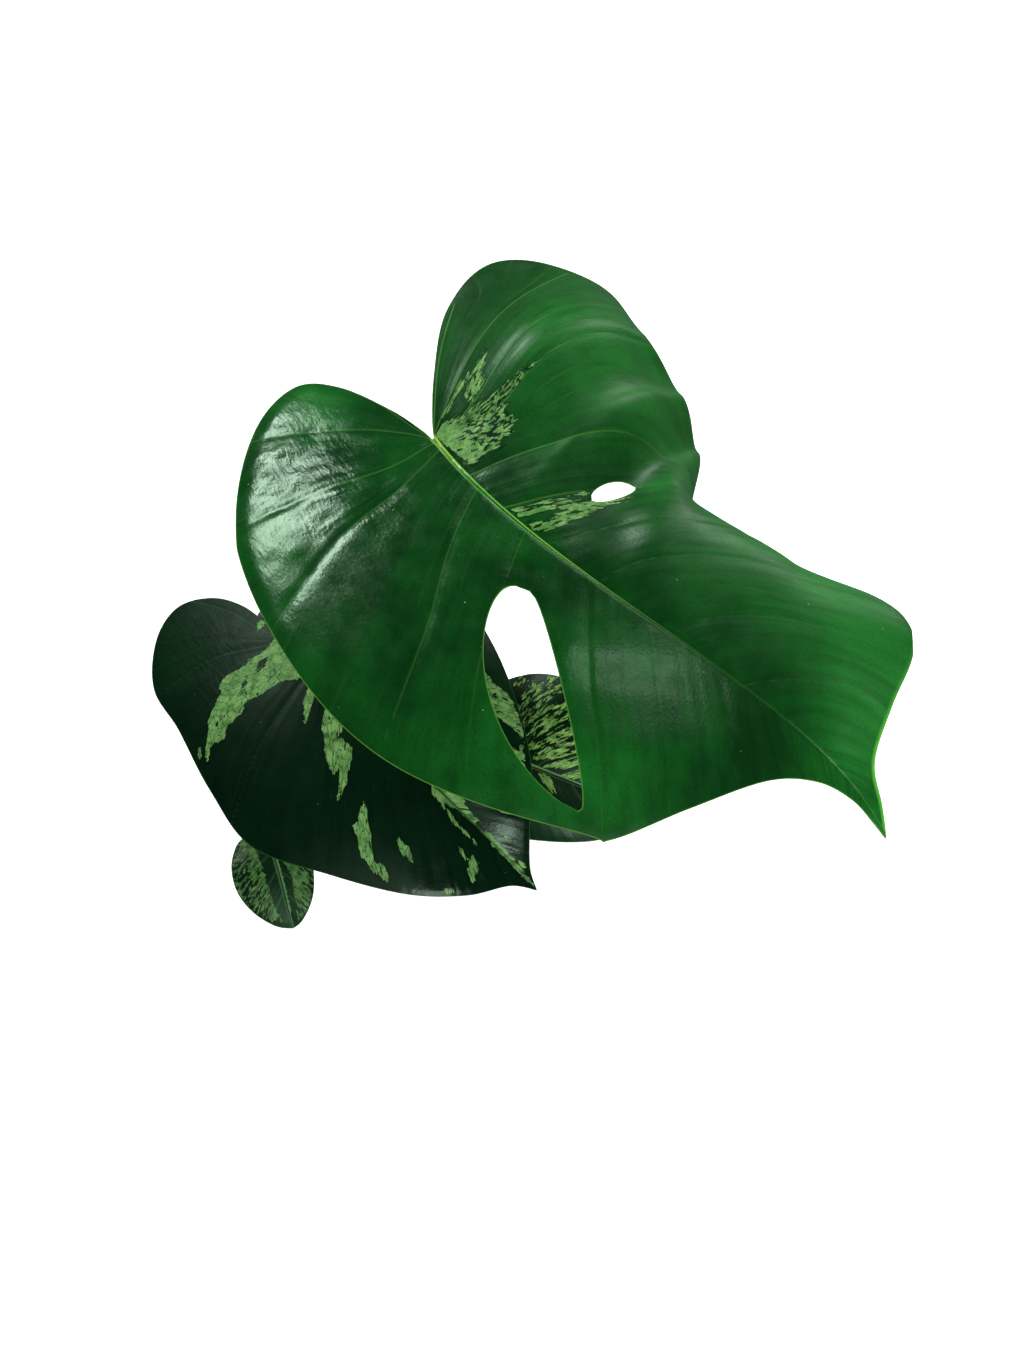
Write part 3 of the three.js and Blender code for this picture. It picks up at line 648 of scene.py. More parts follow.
def bladeRelief(plan, x, y, half, nearest, count, edge):
    # quilting between the side veins, a groove along each vein, ripples in the crinkled lobe
    sheet = sheetPlan
    fullness = np.sin(math.pi * (count - np.floor(count))) ** sheet["quiltFullness"] - 0.5
    toRib = smoothShare(y, *sheet["quiltFromRib"])
    toEdge = smoothShare(edge, *sheet["quiltFromEdge"])
    relief = bySide(half, plan["quilt"]) * fullness * toRib * toEdge
    veinCut = sheet["veinCut"] * plan["puff"] * bell(nearest, sheet["veinCutReach"])
    relief -= veinCut * smoothShare(y, *sheet["veinCutFromRib"]) * toEdge
    droop = bySide(half, plan["droop"]) * (1 - smoothShare(x, plan["droop"]["from"], plan["droop"]["to"]))
    relief -= droop * (1 - smoothShare(edge, *sheet["droopRange"])) ** sheet["droopBend"]
    relief += sheet["swell"] * plan["puff"] * waves(x, y, *sheet["swellWave"]) * toRib * toEdge
    if plan["crinkle"]:
        ripple = sum(height * waves(x, y, seed, size) for height, seed, size in sheet["ripples"])
        relief += plan["crinkle"]["height"] * crinkleCover(plan, x, y, half) * ripple * toEdge
    return relief


def ribForms(plan, x, y):
    # how deep the midrib stands out below, and the groove above it
    sheet = sheetPlan
    toFoot = 1 - np.clip(x, 0, None) / plan["feet"][-1]
    width, depth, cut = (tip + more * toFoot for tip, more in
                         (sheet["widthTaper"], sheet["depthTaper"], sheet["grooveTaper"]))
    width = plan["rib"] * width
    rib = plan["rib"] * depth * (bell(y, width) * smoothShare(x, *sheet["ribStart"]))
    groove = sheet["groove"] * cut * bell(y, sheet["grooveReach"] * width)
    return rib, groove * smoothShare(x, *sheet["grooveStart"])


def gridRows(plan):
    # how many grid lines each stretch between two vein rows gets
    steps = [np.linalg.norm(np.diff(np.asarray(plan[key], float), axis=0), axis=1)
             for key in ("leftMargin", "rightMargin")]
    lines = np.maximum(3, np.round(np.maximum(*steps) / plan["spacing"])).astype(int)
    return np.concatenate([[0], np.cumsum(lines)])


def bladeGrid(plan, rows):
    # a flat grid, a column for each grid line and a row for each step out, slit where a hole opens
    lineCount = int(rows[-1])
    stepCount = plan["steps"]
    slack, gap = 0.01, 0.002
    form = bmesh.new()
    bmesh.ops.create_grid(form, x_segments=lineCount, y_segments=2 * stepCount, size=1)
    stretch = Matrix.Diagonal((lineCount / 2, stepCount, 1, 1))
    bmesh.ops.transform(form, matrix=Matrix.Translation((lineCount / 2, 0, 0)) @ stretch, verts=form.verts)
    for side, hole in holesOf(plan):
        line = rows[hole["row"]]
        low, high = hole["start"] * stepCount - 0.5, hole["end"] * stepCount + 0.5

        def onSlit(vertex):
            return abs(vertex.co.x - line) < slack and low < vertex.co.y * side < high

        slit = [edge for edge in form.edges if all(onSlit(vertex) for vertex in edge.verts)]
        bmesh.ops.split_edges(form, edges=slit)
        for vertex in form.verts:
            if onSlit(vertex) and vertex.link_faces:
                centres = [face.calc_center_median().x for face in vertex.link_faces]
                beside = sum(centres) / len(centres)
                if abs(beside - line) > 0.1:
                    vertex.co.x += gap * (1 if beside > line else -1)
    return form


def gridPlaces(plan, rows, points):
    # flat places of grid points
    row = np.interp(points[:, 0], rows, np.arange(len(rows)))
    half = np.where(points[:, 1] >= 0, 1, -1)
    x, y = flatPlaces(plan, row, np.abs(points[:, 1]) / plan["steps"], half)
    return x, y, half


def rimDistance(rim, places):
    tree = kdtree.KDTree(len(rim[0]))
    for index, (x, y, side) in enumerate(zip(*rim)):
        tree.insert((x, y * side, 0), index)
    tree.balance()
    return np.array([tree.find((x, y * side, 0))[2] for x, y, side in zip(*places)])


def makeBlade(name, plan):
    rows = gridRows(plan)
    form = bladeGrid(plan, rows)
    rim = np.array([vertex.co[:] for vertex in form.verts if vertex.is_boundary])
    bmesh.ops.solidify(form, geom=form.faces[:], thickness=1)
    blade = newPiece(f"blade{name.capitalize()}", form)
    grid = readPlaces(blade.data)
    upper = grid[:, 2] > (grid[:, 2].min() + grid[:, 2].max()) / 2
    x, y, half = gridPlaces(plan, rows, grid)
    edge = rimDistance(gridPlaces(plan, rows, rim), (x, y, half))
    nearest, count = veinField(plan, x, y, half)
    depth, flecks = paleDepth(plan, x, y, half)

    point = bladePlaces(plan, x, y, half)
    normal = bladeNormals(plan, x, y, half)
    onMidrib = y < 1e-6
    normal = unitRows(np.where(onMidrib[:, None], normal + bladeNormals(plan, x, y, -half), normal))
    sheet = sheetPlan
    relief = bladeRelief(plan, x, y, half, nearest, count, edge)
    thick = sheet["rimHalfThick"] + sheet["addedHalfThick"] * smoothShare(edge, *sheet["thickFromEdge"])
    rib, groove = ribForms(plan, x, y)
    ridge = sheet["veinRidge"] * plan["puff"] * bell(nearest, sheet["veinRidgeReach"])
    ridge = ridge * smoothShare(edge, *sheet["ridgeFromEdge"]) * smoothShare(y, *sheet["ridgeFromRib"])
    shift = np.where(upper, relief + thick - groove, relief - thick - rib - ridge)
    low, high = (np.array(corner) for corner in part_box(f"blade_{name}"))
    writePlaces(blade.data, np.clip((point + normal * shift[:, None]) * mm, low, high))

    show = plan["veinShow"]
    shown = bySide(half, show) * (1 - (1 - show["end"]) * smoothShare(x, show["from"], show["to"]))
    writeValues(blade.data, {
        "pale": depth, "flecks": flecks, "under": np.where(upper, 0.0, 1.0), "margin": edge,
        "sideVein": nearest, "flatX": x, "flatY": y * half, "veinCount": count,
        "veinRun": np.hypot(x * sheet["runAlong"], y), "veinShow": shown,
        "freshAndSheen": freshAndSheenShare(plan, x, y, half), "wrinkled": crinkleCover(plan, x, y, half)})
    finishSheet(blade.data)
    return blade


leafGreens = {
    "large": {"deep": (2, 54, 13), "bright": (30, 134, 42), "shade": (0, 32, 8), "pale": (138, 190, 106),
              "paleDeep": (92, 142, 68), "rib": (150, 224, 80), "joint": (196, 244, 92),
              "vein": (118, 196, 88), "ribReach": 110, "specular": 0.4, "gloss": (0.16, 0.26),
              "leftGloss": 0.16, "tipGloss": (70, 150, 0.07), "rimGlow": 0.85, "tear": 9, "fray": 2.2,
              "fleckScale": (0.32, 14, 1)},
    "middle": {"deep": (2, 28, 12), "bright": (8, 50, 21), "shade": (0, 13, 6), "pale": (126, 176, 100),
               "paleDeep": (88, 136, 70), "rib": (70, 130, 66), "joint": (120, 176, 92),
               "vein": (70, 130, 66), "ribReach": 160, "specular": 0.11, "gloss": (0.38, 0.48),
               "leftGloss": 0, "tipGloss": (60, 120, -0.2), "rimGlow": 0, "tear": 4, "fray": 1.4,
               "fleckScale": (0.3, 12, 1)},
    "back": {"deep": (3, 34, 15), "bright": (9, 50, 21), "shade": (1, 20, 8), "pale": (156, 208, 112),
             "paleDeep": (116, 168, 80), "rib": (120, 180, 100), "joint": (150, 200, 110),
             "vein": (120, 180, 100), "ribReach": 90, "specular": 0.2, "gloss": (0.34, 0.48),
             "leftGloss": 0, "tipGloss": (30, 60, 0), "rimGlow": 0, "tear": 10, "fray": 2.4,
             "fleckScale": (0.24, 10, 1)},
    "small": {"deep": (4, 34, 18), "bright": (14, 64, 24), "shade": (1, 16, 8), "pale": (98, 140, 78),
              "paleDeep": (58, 102, 48), "rib": (110, 160, 110), "joint": (130, 176, 112),
              "vein": (110, 160, 110), "ribReach": 60, "specular": 0.2, "gloss": (0.36, 0.5),
              "leftGloss": 0, "tipGloss": (20, 40, 0), "rimGlow": 0, "tear": 6, "fray": 2,
              "fleckScale": (0.42, 8, 1)},
}
# what the blades' finishes share; a noise is given by its scale, detail and roughness
leafLook = {
    "cloud": (0.03, 3, 0.55), "cloudShare": 0.25, "strand": (1, 4, 0.6), "strandStretch": (0.05, 5, 1),
    "strandShare": 0.36, "grain": (1.1, 3, 0.65), "grainShare": 0.3, "fineStretch": (0.012, 1, 1),
    "fineShare": 0.22, "speckScale": 0.16, "speckSize": (0.03, 0.055), "paleSpecks": 0.55, "darkSpecks": 0.7,
    "tear": (1, 3, 0.62), "tearStretch": (0.12, 9, 1), "fray": (1, 2, 0.6), "frayStretch": (0.4, 26, 1),
    "flecks": (1, 2.5, 0.6), "fleckCut": (-0.36, 0.72), "netStretch": (0.3, 13, 1), "netShare": 0.65,
    "tone": (0.22, 3, 0.6), "outlineShare": 0.85, "marginShare": 0.36, "glowTone": (96, 206, 64),
    "glowAlong": (182, 202), "glowWidth": (0.8, 2.2), "under": (92, 138, 84), "underDeep": (70, 116, 64),
    "underPale": (176, 200, 138), "underVein": (158, 190, 118), "wet": (0.12, 4, 0.6),
    "paleRough": 0.08, "freshAndSheenRough": 0.14, "underRough": 0.28, "tint": (0.7, 1, 0.76, 1),
    "wrinkles": (1, 4, 0.62), "wrinkleStretch": (0.16, 0.42, 1), "wrinkleHeight": 2.4, "pebbleScale": 0.9,
    "bump": (0.4, 0.0003),
}


def bladeFinish(name, greens):
    look = leafLook
    finish, tree, shader = startFinish(f"{name}Blade")
    flatX, flatY, under, pale, flecks, freshAndSheen, sideVein, veinRun, veinShow, margin = (
        readAttribute(tree, label) for label in
        ("flatX", "flatY", "under", "pale", "flecks", "freshAndSheen", "sideVein", "veinRun", "veinShow", "margin"))
    ribAway = sums(tree, "ABSOLUTE", flatY)
    flowParts = {"X": veinRun, "Y": readAttribute(tree, "veinCount")}
    flow = addNode(tree, "ShaderNodeCombineXYZ", flowParts).outputs[0]
    flat = addNode(tree, "ShaderNodeCombineXYZ", {"X": flatX, "Y": flatY}).outputs[0]

    # green of the blade: lighter in spots, partly fresher green and partly painted sheen and painted light,
    # cloudy, in soft strands along the veins
    cloud = noiseOf(tree, flat, *look["cloud"])
    lighter = timesPlus(tree, fade(tree, cloud, 0.35, 0.7), look["cloudShare"], freshAndSheen)
    green = blendPaint(tree, lighter, greens["deep"], greens["bright"])
    strand = noiseOf(tree, stretched(tree, flow, look["strandStretch"]), *look["strand"])
    green = blendPaint(tree, fade(tree, strand, 0.35, 0.7, 0, look["strandShare"]), green, greens["shade"])
    grain = noiseOf(tree, flat, *look["grain"])
    green = blendPaint(tree, fade(tree, grain, 0.4, 0.7, 0, look["grainShare"]), green, greens["shade"])
    bands = {"Vector": stretched(tree, flow, look["fineStretch"]), "Scale": 1.3, "Distortion": 2.4,
             "Detail": 2, "Detail Scale": 1.2}
    fine = addNode(tree, "ShaderNodeTexWave", bands, wave_type="BANDS", bands_direction="Y").outputs["Fac"]
    thinVein = times(tree, fade(tree, fine, 0.93, 1, 0, look["fineShare"]), fade(tree, strand, 0.45, 0.6))
    thinVein = times(tree, thinVein, veinShow)
    sideLine = times(tree, fade(tree, sideVein, 0.1, 0.5, 1, 0), veinShow)
    green = blendPaint(tree, sums(tree, "MAXIMUM", thinVein, sideLine), green, greens["vein"])

    # a few pale and dark specks
    cells = addNode(tree, "ShaderNodeTexVoronoi", {"Vector": flat, "Scale": look["speckScale"]}).outputs
    chance = addNode(tree, "ShaderNodeSeparateXYZ", {"Vector": cells["Color"]}).outputs
    speck = fade(tree, cells["Distance"], *look["speckSize"], 1, 0)
    paleSpeck = times(tree, speck, fade(tree, chance["X"], 0.78, 0.8, 0, look["paleSpecks"]))
    darkSpeck = times(tree, speck, fade(tree, chance["Y"], 0.8, 0.82, 0, look["darkSpecks"]))
    green = blendPaint(tree, paleSpeck, green, greens["rib"])
    green = blendPaint(tree, darkSpeck, green, greens["shade"])

    # pale splashes: edges torn along the veins, dark flecks that grow outwards, fine net of veins inside
    outwards = fade(tree, veinRun, 2, 14, 0.3, 1)
    tear = noiseOf(tree, stretched(tree, flow, look["tearStretch"]), *look["tear"])
    fray = noiseOf(tree, stretched(tree, flow, look["frayStretch"], (7, 3, 0)), *look["fray"])
    torn = times(tree, sums(tree, "SUBTRACT", tear, 0.5), times(tree, outwards, greens["tear"]))
    torn = sums(tree, "ADD", torn, pale)
    ragged = timesPlus(tree, sums(tree, "SUBTRACT", fray, 0.5), greens["fray"], torn)
    outline = fade(tree, ragged, -0.8, -0.06)
    dots = noiseOf(tree, stretched(tree, flow, greens["fleckScale"], (2, 9, 0)), *look["flecks"])
    threshold = timesPlus(tree, times(tree, flecks, outwards), *look["fleckCut"])
    dark = fade(tree, sums(tree, "SUBTRACT", dots, threshold), -0.01, 0.01)
    splash = times(tree, fade(tree, ragged, -0.06, 0.08), sums(tree, "SUBTRACT", 1, dark))
    netCells = {"Vector": stretched(tree, flow, look["netStretch"]), "Scale": 1}
    net = addNode(tree, "ShaderNodeTexVoronoi", netCells, feature="DISTANCE_TO_EDGE").outputs["Distance"]
    tone = noiseOf(tree, flat, *look["tone"])
    paleTone = blendPaint(tree, fade(tree, tone, 0.36, 0.66), greens["pale"], greens["paleDeep"])
    paleTone = blendPaint(tree, fade(tree, net, 0.02, 0.08, look["netShare"], 0), paleTone, greens["bright"])
    green = blendPaint(tree, times(tree, outline, look["outlineShare"]), green, greens["shade"])
    green = blendPaint(tree, splash, green, paleTone)

    # yellow-green midrib, fading along the leaf, with painted light on its edges and joint on the lit side
    # and painted shade in its groove, and a thin pale margin
    ribReach = greens["ribReach"]
    ribWidth = fade(tree, flatX, 0, ribReach, 1.35, 0.45)
    ribStrength = fade(tree, flatX, ribReach * 0.3, ribReach * 1.2, 1, 0.12)
    rib = sums(tree, "SUBTRACT", 1, fade(tree, ribAway, times(tree, ribWidth, 0.55), ribWidth))
    ribEdge = fade(tree, sums(tree, "SUBTRACT", ribWidth, ribAway), 0.35, 0.75, 1, 0)
    # painted light: the midrib's edges and its joint are paler on the left side, where the light falls
    litSide = fade(tree, flatY, -0.4, 0.3, 0.35, 1)
    ribTone = blendPaint(tree, times(tree, ribEdge, litSide), greens["bright"], greens["rib"])
    joint = fade(tree, flatX, 4, 30, 0.7, 0)
    ribTone = blendPaint(tree, times(tree, joint, litSide), ribTone, greens["joint"])
    # painted shade: the middle of the midrib, along its groove, is darkened
    creaseShade = fade(tree, ribAway, 0.1, 0.32, 0.75, 0)
    ribTone = blendPaint(tree, creaseShade, ribTone, greens["shade"])
    fromFoot = fade(tree, flatX, -3, 0.5)
    green = blendPaint(tree, times(tree, times(tree, rib, ribStrength), fromFoot), green, ribTone)
    # the margin's paler green is partly the rim's own colour and partly painted light shining through the
    # thin edge
    green = blendPaint(tree, fade(tree, margin, 0.1, 0.5, look["marginShare"], 0), green, greens["rib"])

    # light shines through the thin rim of the turned-up end
    glow = times(tree, fade(tree, margin, *look["glowWidth"], greens["rimGlow"], 0),
                 fade(tree, flatX, *look["glowAlong"]))
    green = blendPaint(tree, times(tree, glow, fade(tree, flatY, 0, 1)), green, look["glowTone"])

    # the underside is paler and mat, with its veins standing out
    below = blendPaint(tree, fade(tree, strand, 0.35, 0.7, 0, 0.6), look["under"], look["underDeep"])
    below = blendPaint(tree, times(tree, splash, 0.6), below, look["underPale"])
    belowVein = sums(tree, "MAXIMUM", rib, fade(tree, sideVein, 0.2, 1, 0.7, 0))
    below = blendPaint(tree, belowVein, below, look["underVein"])
    colour = blendPaint(tree, under, green, below)

    rough = fade(tree, noiseOf(tree, flat, *look["wet"]), 0.3, 0.75, *greens["gloss"])
    tipFrom, tipTo, tipChange = greens["tipGloss"]
    rough = sums(tree, "ADD", fade(tree, flatX, tipFrom, tipTo, 0, tipChange), rough)
    rough = sums(tree, "ADD", fade(tree, flatY, 0, 20, 0, greens["leftGloss"]), rough)
    for cover, change in ((splash, "paleRough"), (freshAndSheen, "freshAndSheenRough"), (under, "underRough")):
        rough = timesPlus(tree, cover, look[change], rough)
    shader.inputs["Specular IOR Level"].default_value = greens["specular"]
    shader.inputs["Specular Tint"].default_value = look["tint"]

    # fine parallel veins, pebbled skin, wrinkles where the leaf crinkled
    pebbles = addNode(tree, "ShaderNodeTexVoronoi", {"Vector": flat, "Scale": look["pebbleScale"]},
                      feature="SMOOTH_F1").outputs["Distance"]
    wrinkles = noiseOf(tree, stretched(tree, flat, look["wrinkleStretch"]), *look["wrinkles"])
    wrinkles = times(tree, wrinkles, readAttribute(tree, "wrinkled"))
    height = timesPlus(tree, fine, 0.3, times(tree, pebbles, 0.3))
    for part, share in ((strand, 0.8), (splash, 0.12), (wrinkles, look["wrinkleHeight"])):
        height = timesPlus(tree, part, share, height)
    closeFinish(tree, shader, colour, rough, height, *look["bump"])
    return finish


for leafName, leafPlan in leafPlans.items():
    leafBlade = makeBlade(leafName, leafPlan)
    leafBlade.data.materials.append(bladeFinish(leafName, leafGreens[leafName]))
    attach(leafBlade, "root")
    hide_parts(f"blade_{leafName}")
    print(f"blade {leafName}: {len(leafBlade.data.polygons)} faces")


# bars bent along a smooth route: petioles, stem, aerial roots
stemPlan = {"route": [(-4, 5, 50), (-4, 5, 78), (-2, 4, 104), (0, 4, 138)], "radius": 7, "topRadius": 5.2,
            "joints": [0.4, 0.55, 0.71, 0.86], "jointSwell": 0.14, "jointReach": 0.03, "scarBelow": 0.022,
            "scarReach": 0.006, "scarDepth": 0.35, "wrinkles": [(0.09, 11, 9), (0.06, 19, -23)],
            "crossing": 0.05, "crossings": 190, "clear": 0.12, "ends": (0.02, 0.05), "sides": 64,
            "steps": 170}
petiolePlans = {
    "large": {"joint": 3, "radius": 4, "topRadius": 2.8, "under": 14, "behind": 2, "steps": 240,
              "via": [(0, 15, 150), (5, 17, 205), (23, -3, 255)]},
    "middle": {"joint": 2, "radius": 3.4, "topRadius": 2.3, "under": 10, "behind": 3, "steps": 150,
               "via": [(-8, -9, 135), (-16, -28, 160)]},
    "back": {"joint": 1, "radius": 3, "topRadius": 1.9, "under": 6, "behind": 6, "steps": 150,
             "via": [(11, -12, 112), (38, -42, 128)]},
    "small": {"joint": 0, "radius": 2.4, "topRadius": 1.5, "under": 3, "behind": 6, "steps": 150,
              "via": [(-12, -18, 99), (-22, -52, 107), (-30, -78, 104)]},
}
petioleShape = {"sides": 28, "sheath": 0.3, "sheathSwell": 0.25, "knee": 0.93, "kneeReach": 0.05,
                "kneeSwell": 0.25, "channel": 0.2, "channelWidth": 0.42, "channelFrom": (0.1, 0.3),
                "wings": 0.1, "wingAngle": 0.75, "wingWidth": 0.28, "kneeWrinkle": 0.035, "kneeWrinkles": 520,
                "ridge": 0.012, "ridges": 9, "ridgeTwist": 5, "ends": (0.012, 0.014), "fromStem": 0.1,
                "gap": 0.3, "seat": 0.4, "intoBlade": 0.5}
rootPlans = {
    "left": {"route": [(-3, 5, 94), (-13, 3, 93), (-20, 0, 86), (-23, -1, 72)], "seed": 5},
    "right": {"route": [(-2, 4, 101), (8, 10, 101), (16, 15, 90), (18, 17, 72)], "seed": 8},
}
rootShape = {"radius": 1.7, "tipRadius": 1.3, "knob": 0.05, "rings": [(160, 1), (61, 2)], "knobs": 5,
             "knobTwist": 30, "ends": (0.02, 0.03), "sides": 20, "steps": 90}


def routePlaces(corners, count):
    # points at equal distances along a centripetal Catmull-Rom curve
    corners = [np.asarray(corner, float) for corner in corners]
    corners = [2 * corners[0] - corners[1]] + corners + [2 * corners[-1] - corners[-2]]
    t = np.linspace(0, 1, 60)[:, None]
    points = []
    for a, b, c, d in zip(corners, corners[1:], corners[2:], corners[3:]):
        before, here, after = (math.sqrt(np.linalg.norm(q - p)) for p, q in ((a, b), (b, c), (c, d)))
        leave = ((b - a) / before - (c - a) / (before + here) + (c - b) / here) * here
        arrive = ((c - b) / here - (d - b) / (here + after) + (d - c) / after) * here
        points.append(b + leave * t + (3 * (c - b) - 2 * leave - arrive) * t ** 2
                      + (2 * (b - c) + leave + arrive) * t ** 3)
    points = np.concatenate([part[:-1] for part in points] + [points[-1][-1:]])
    reach = lengthsAlong(points)
    return atLengths(np.linspace(0, reach[-1], count), reach, points), reach[-1]


def makeBar(name, plan, corners, radiusAt, facing):
    # a grid rolled round the route; facing is the way that angle 0 looks, carried along the bar
    sides, steps = plan["sides"], plan["steps"]
    places, length = routePlaces(corners, steps + 1)
    tangents = unitRows(np.gradient(places, axis=0))
    facing = np.asarray(facing, float)
    fronts = []
    for tangent in tangents:
        facing = facing - tangent * facing.dot(tangent)
        facing /= np.linalg.norm(facing)
        fronts.append(facing)
    fronts = np.array(fronts)
    form = bmesh.new()
    bmesh.ops.create_grid(form, x_segments=sides, y_segments=steps, size=0.5)
    bar = newPiece(name, form)
    grid = readPlaces(bar.data) + 0.5
    step = np.clip(np.round(grid[:, 1] * steps).astype(int), 0, steps)
    angle = grid[:, 0] * 2 * math.pi
    share = step / steps
    sideways = np.cross(tangents, fronts)
    out = fronts[step] * np.cos(angle)[:, None] + sideways[step] * np.sin(angle)[:, None]
    writePlaces(bar.data, (places[step] + out * radiusAt(share, angle)[:, None]) * mm)
    writeValues(bar.data, {"along": share * length, "ringX": np.cos(angle), "ringY": np.sin(angle)})
    finishSheet(bar.data)
    return bar


def roundedEnds(share, low, high):
    # 0 at both ends of a bar, 1 where its rounded ends are past
    start, end = (np.sqrt(np.clip(1 - np.clip(1 - away / reach, 0, 1) ** 2, 0, 1))
                  for away, reach in ((share, low), (1 - share, high)))
    return start * end


def grown(plan, share, end):
    return plan["radius"] + (plan[end] - plan["radius"]) * share


def stemRadius(share, angle):
    # rings where the petioles leave, with a leaf scar below each
    plan = stemPlan
    above = [share - joint for joint in plan["joints"]]
    swell = np.max([bell(away, plan["jointReach"]) for away in above], axis=0)
    scar = np.max([bell(away + plan["scarBelow"], plan["scarReach"]) for away in above], axis=0)
    wrinkle = sum(height * np.sin(angle * count + twist * share) for height, count, twist in plan["wrinkles"])
    crossing = plan["crossing"] * np.sin(share * plan["crossings"] + 2 * np.sin(angle * 2))
    body = grown(plan, share, "topRadius") * (1 + plan["jointSwell"] * swell) - plan["scarDepth"] * scar
    return (body + (wrinkle + crossing) * (1 - swell) - plan["clear"]) * roundedEnds(share, *plan["ends"])


def petioleRoute(name, plan):
    # from the joint on the stem to the foot of the blade, as in the frame's solids
    leaf, shape = leafPlans[name], petioleShape
    stem = routePlaces(stemPlan["route"], curveSteps + 1)[0]
    start = stem[round(stemPlan["joints"][plan["joint"]] * curveSteps)]
    foot = plan["topRadius"] + shape["gap"]
    up = bladeNormals(leaf, np.array([foot, foot]), np.array([0.0, 0.0]), np.array([1, -1])).sum(axis=0)
    up /= np.linalg.norm(up)
    middle, tangent = midribPlaces(leaf, np.array([foot / leaf["feet"][-1]]))
    approach = up * plan["under"] + tangent[0] * plan["behind"]
    tilt = math.acos(approach.dot(up) / np.linalg.norm(approach))
    end = middle[0] - up * (shape["seat"] + plan["topRadius"] * math.sin(tilt))
    via = [np.asarray(corner, float) for corner in plan["via"]]
    start = start + (via[0] - start) * shape["fromStem"]
    return [start, *via, end - approach, end + up * shape["intoBlade"]], up


def petioleRadius(plan):
    # a sheath low down, a channel along the top with a wing on each side, a wrinkled knee near the blade
    def radiusAt(share, angle):
        form = petioleShape
        sheath = np.clip(1 - share / form["sheath"], 0, 1)
        knee = bell(share - form["knee"], form["kneeReach"])
        body = grown(plan, share, "topRadius") * (1 + form["sheathSwell"] * sheath + form["kneeSwell"] * knee)
        fromTop = np.minimum(angle, 2 * math.pi - angle)
        channel = form["channel"] * bell(fromTop, form["channelWidth"])
        channel = channel * smoothShare(share, *form["channelFrom"]) * (1 - knee)
        wings = form["wings"] * bell(fromTop - form["wingAngle"], form["wingWidth"]) * sheath ** 0.6
        wrinkle = form["kneeWrinkle"] * knee * np.sin(share * form["kneeWrinkles"])
        wrinkle = wrinkle + form["ridge"] * np.sin(angle * form["ridges"] + share * form["ridgeTwist"])
        return body * (1 - channel + wings + wrinkle) * roundedEnds(share, *form["ends"])
    return radiusAt


def rootRadius(seed):
    def radiusAt(share, angle):
        form = rootShape
        ring = sum(form["knob"] * np.sin(share * count + step * seed) for count, step in form["rings"])
        knobs = form["knob"] * np.sin(angle * form["knobs"] + share * form["knobTwist"] + seed)
        return grown(form, share, "tipRadius") * (1 + ring + knobs) * roundedEnds(share, *form["ends"])
    return radiusAt


def barNoise(tree, ring, along, scale, detail, roughness):
    # a noise without a seam, on coordinates round and along a bar
    parts = {axis: times(tree, readAttribute(tree, name), size)
             for axis, name, size in (("X", "ringX", ring), ("Y", "ringY", ring), ("Z", "along", along))}
    coords = addNode(tree, "ShaderNodeCombineXYZ", parts).outputs[0]
    return noiseOf(tree, coords, scale, detail, roughness)


# a noise on a bar is given by how far it runs round and along, then its scale, detail and roughness
petioleLook = {"deep": (38, 92, 30), "light": (86, 132, 54), "pale": (150, 186, 108), "dark": (24, 62, 22),
               "foot": (92, 104, 52), "rough": (0.36, 0.52), "streak": (2.2, 0.02, 1.6, 4, 0.6),
               "mottle": (1.3, 0.22, 2.2, 5, 0.62), "splash": (2.8, 0.035, 1.3, 3, 0.65),
               "grain": (9, 0.12, 2, 4, 0.6), "bump": (0.4, 0.0004)}
stemLook = {"deep": (58, 92, 40), "light": (104, 122, 62), "cork": (112, 98, 62), "rough": (0.48, 0.72),
            "streak": (3, 0.05, 1.4, 5, 0.62), "blotch": (1.2, 0.09, 1.8, 4, 0.6),
            "grain": (10, 0.3, 2.2, 5, 0.65), "bump": (0.6, 0.0006)}
rootLook = {"deep": (70, 50, 32), "light": (142, 112, 76), "rough": 0.88, "cork": (1.6, 0.5, 1.8, 5, 0.68),
            "bump": (0.8, 0.0008)}


def petioleFinish(look):
    finish, tree, shader = startFinish("petioleSkin")
    streak = barNoise(tree, *look["streak"])
    mottle = barNoise(tree, *look["mottle"])
    colour = blendPaint(tree, fade(tree, streak, 0.35, 0.7), look["deep"], look["light"])
    splash = fade(tree, barNoise(tree, *look["splash"]), 0.56, 0.6)
    colour = blendPaint(tree, times(tree, splash, 0.75), colour, look["pale"])
    colour = blendPaint(tree, fade(tree, mottle, 0.55, 0.75, 0, 0.5), colour, look["dark"])
    foot = fade(tree, readAttribute(tree, "along"), 0, 30, 0.55, 0)
    colour = blendPaint(tree, foot, colour, look["foot"])
    rough = fade(tree, mottle, 0.3, 0.7, *look["rough"])
    closeFinish(tree, shader, colour, rough, barNoise(tree, *look["grain"]), *look["bump"])
    return finish


def stemFinish(look):
    finish, tree, shader = startFinish("stemSkin")
    streak = barNoise(tree, *look["streak"])
    blotch = barNoise(tree, *look["blotch"])
    colour = blendPaint(tree, fade(tree, streak, 0.35, 0.7), look["deep"], look["light"])
    colour = blendPaint(tree, fade(tree, blotch, 0.48, 0.68, 0, 0.8), colour, look["cork"])
    rough = fade(tree, blotch, 0.3, 0.7, *look["rough"])
    closeFinish(tree, shader, colour, rough, barNoise(tree, *look["grain"]), *look["bump"])
    return finish


def rootFinish(look):
    finish, tree, shader = startFinish("rootSkin")
    cork = barNoise(tree, *look["cork"])
    colour = blendPaint(tree, fade(tree, cork, 0.36, 0.68), look["deep"], look["light"])
    closeFinish(tree, shader, colour, look["rough"], cork, *look["bump"])
    return finish


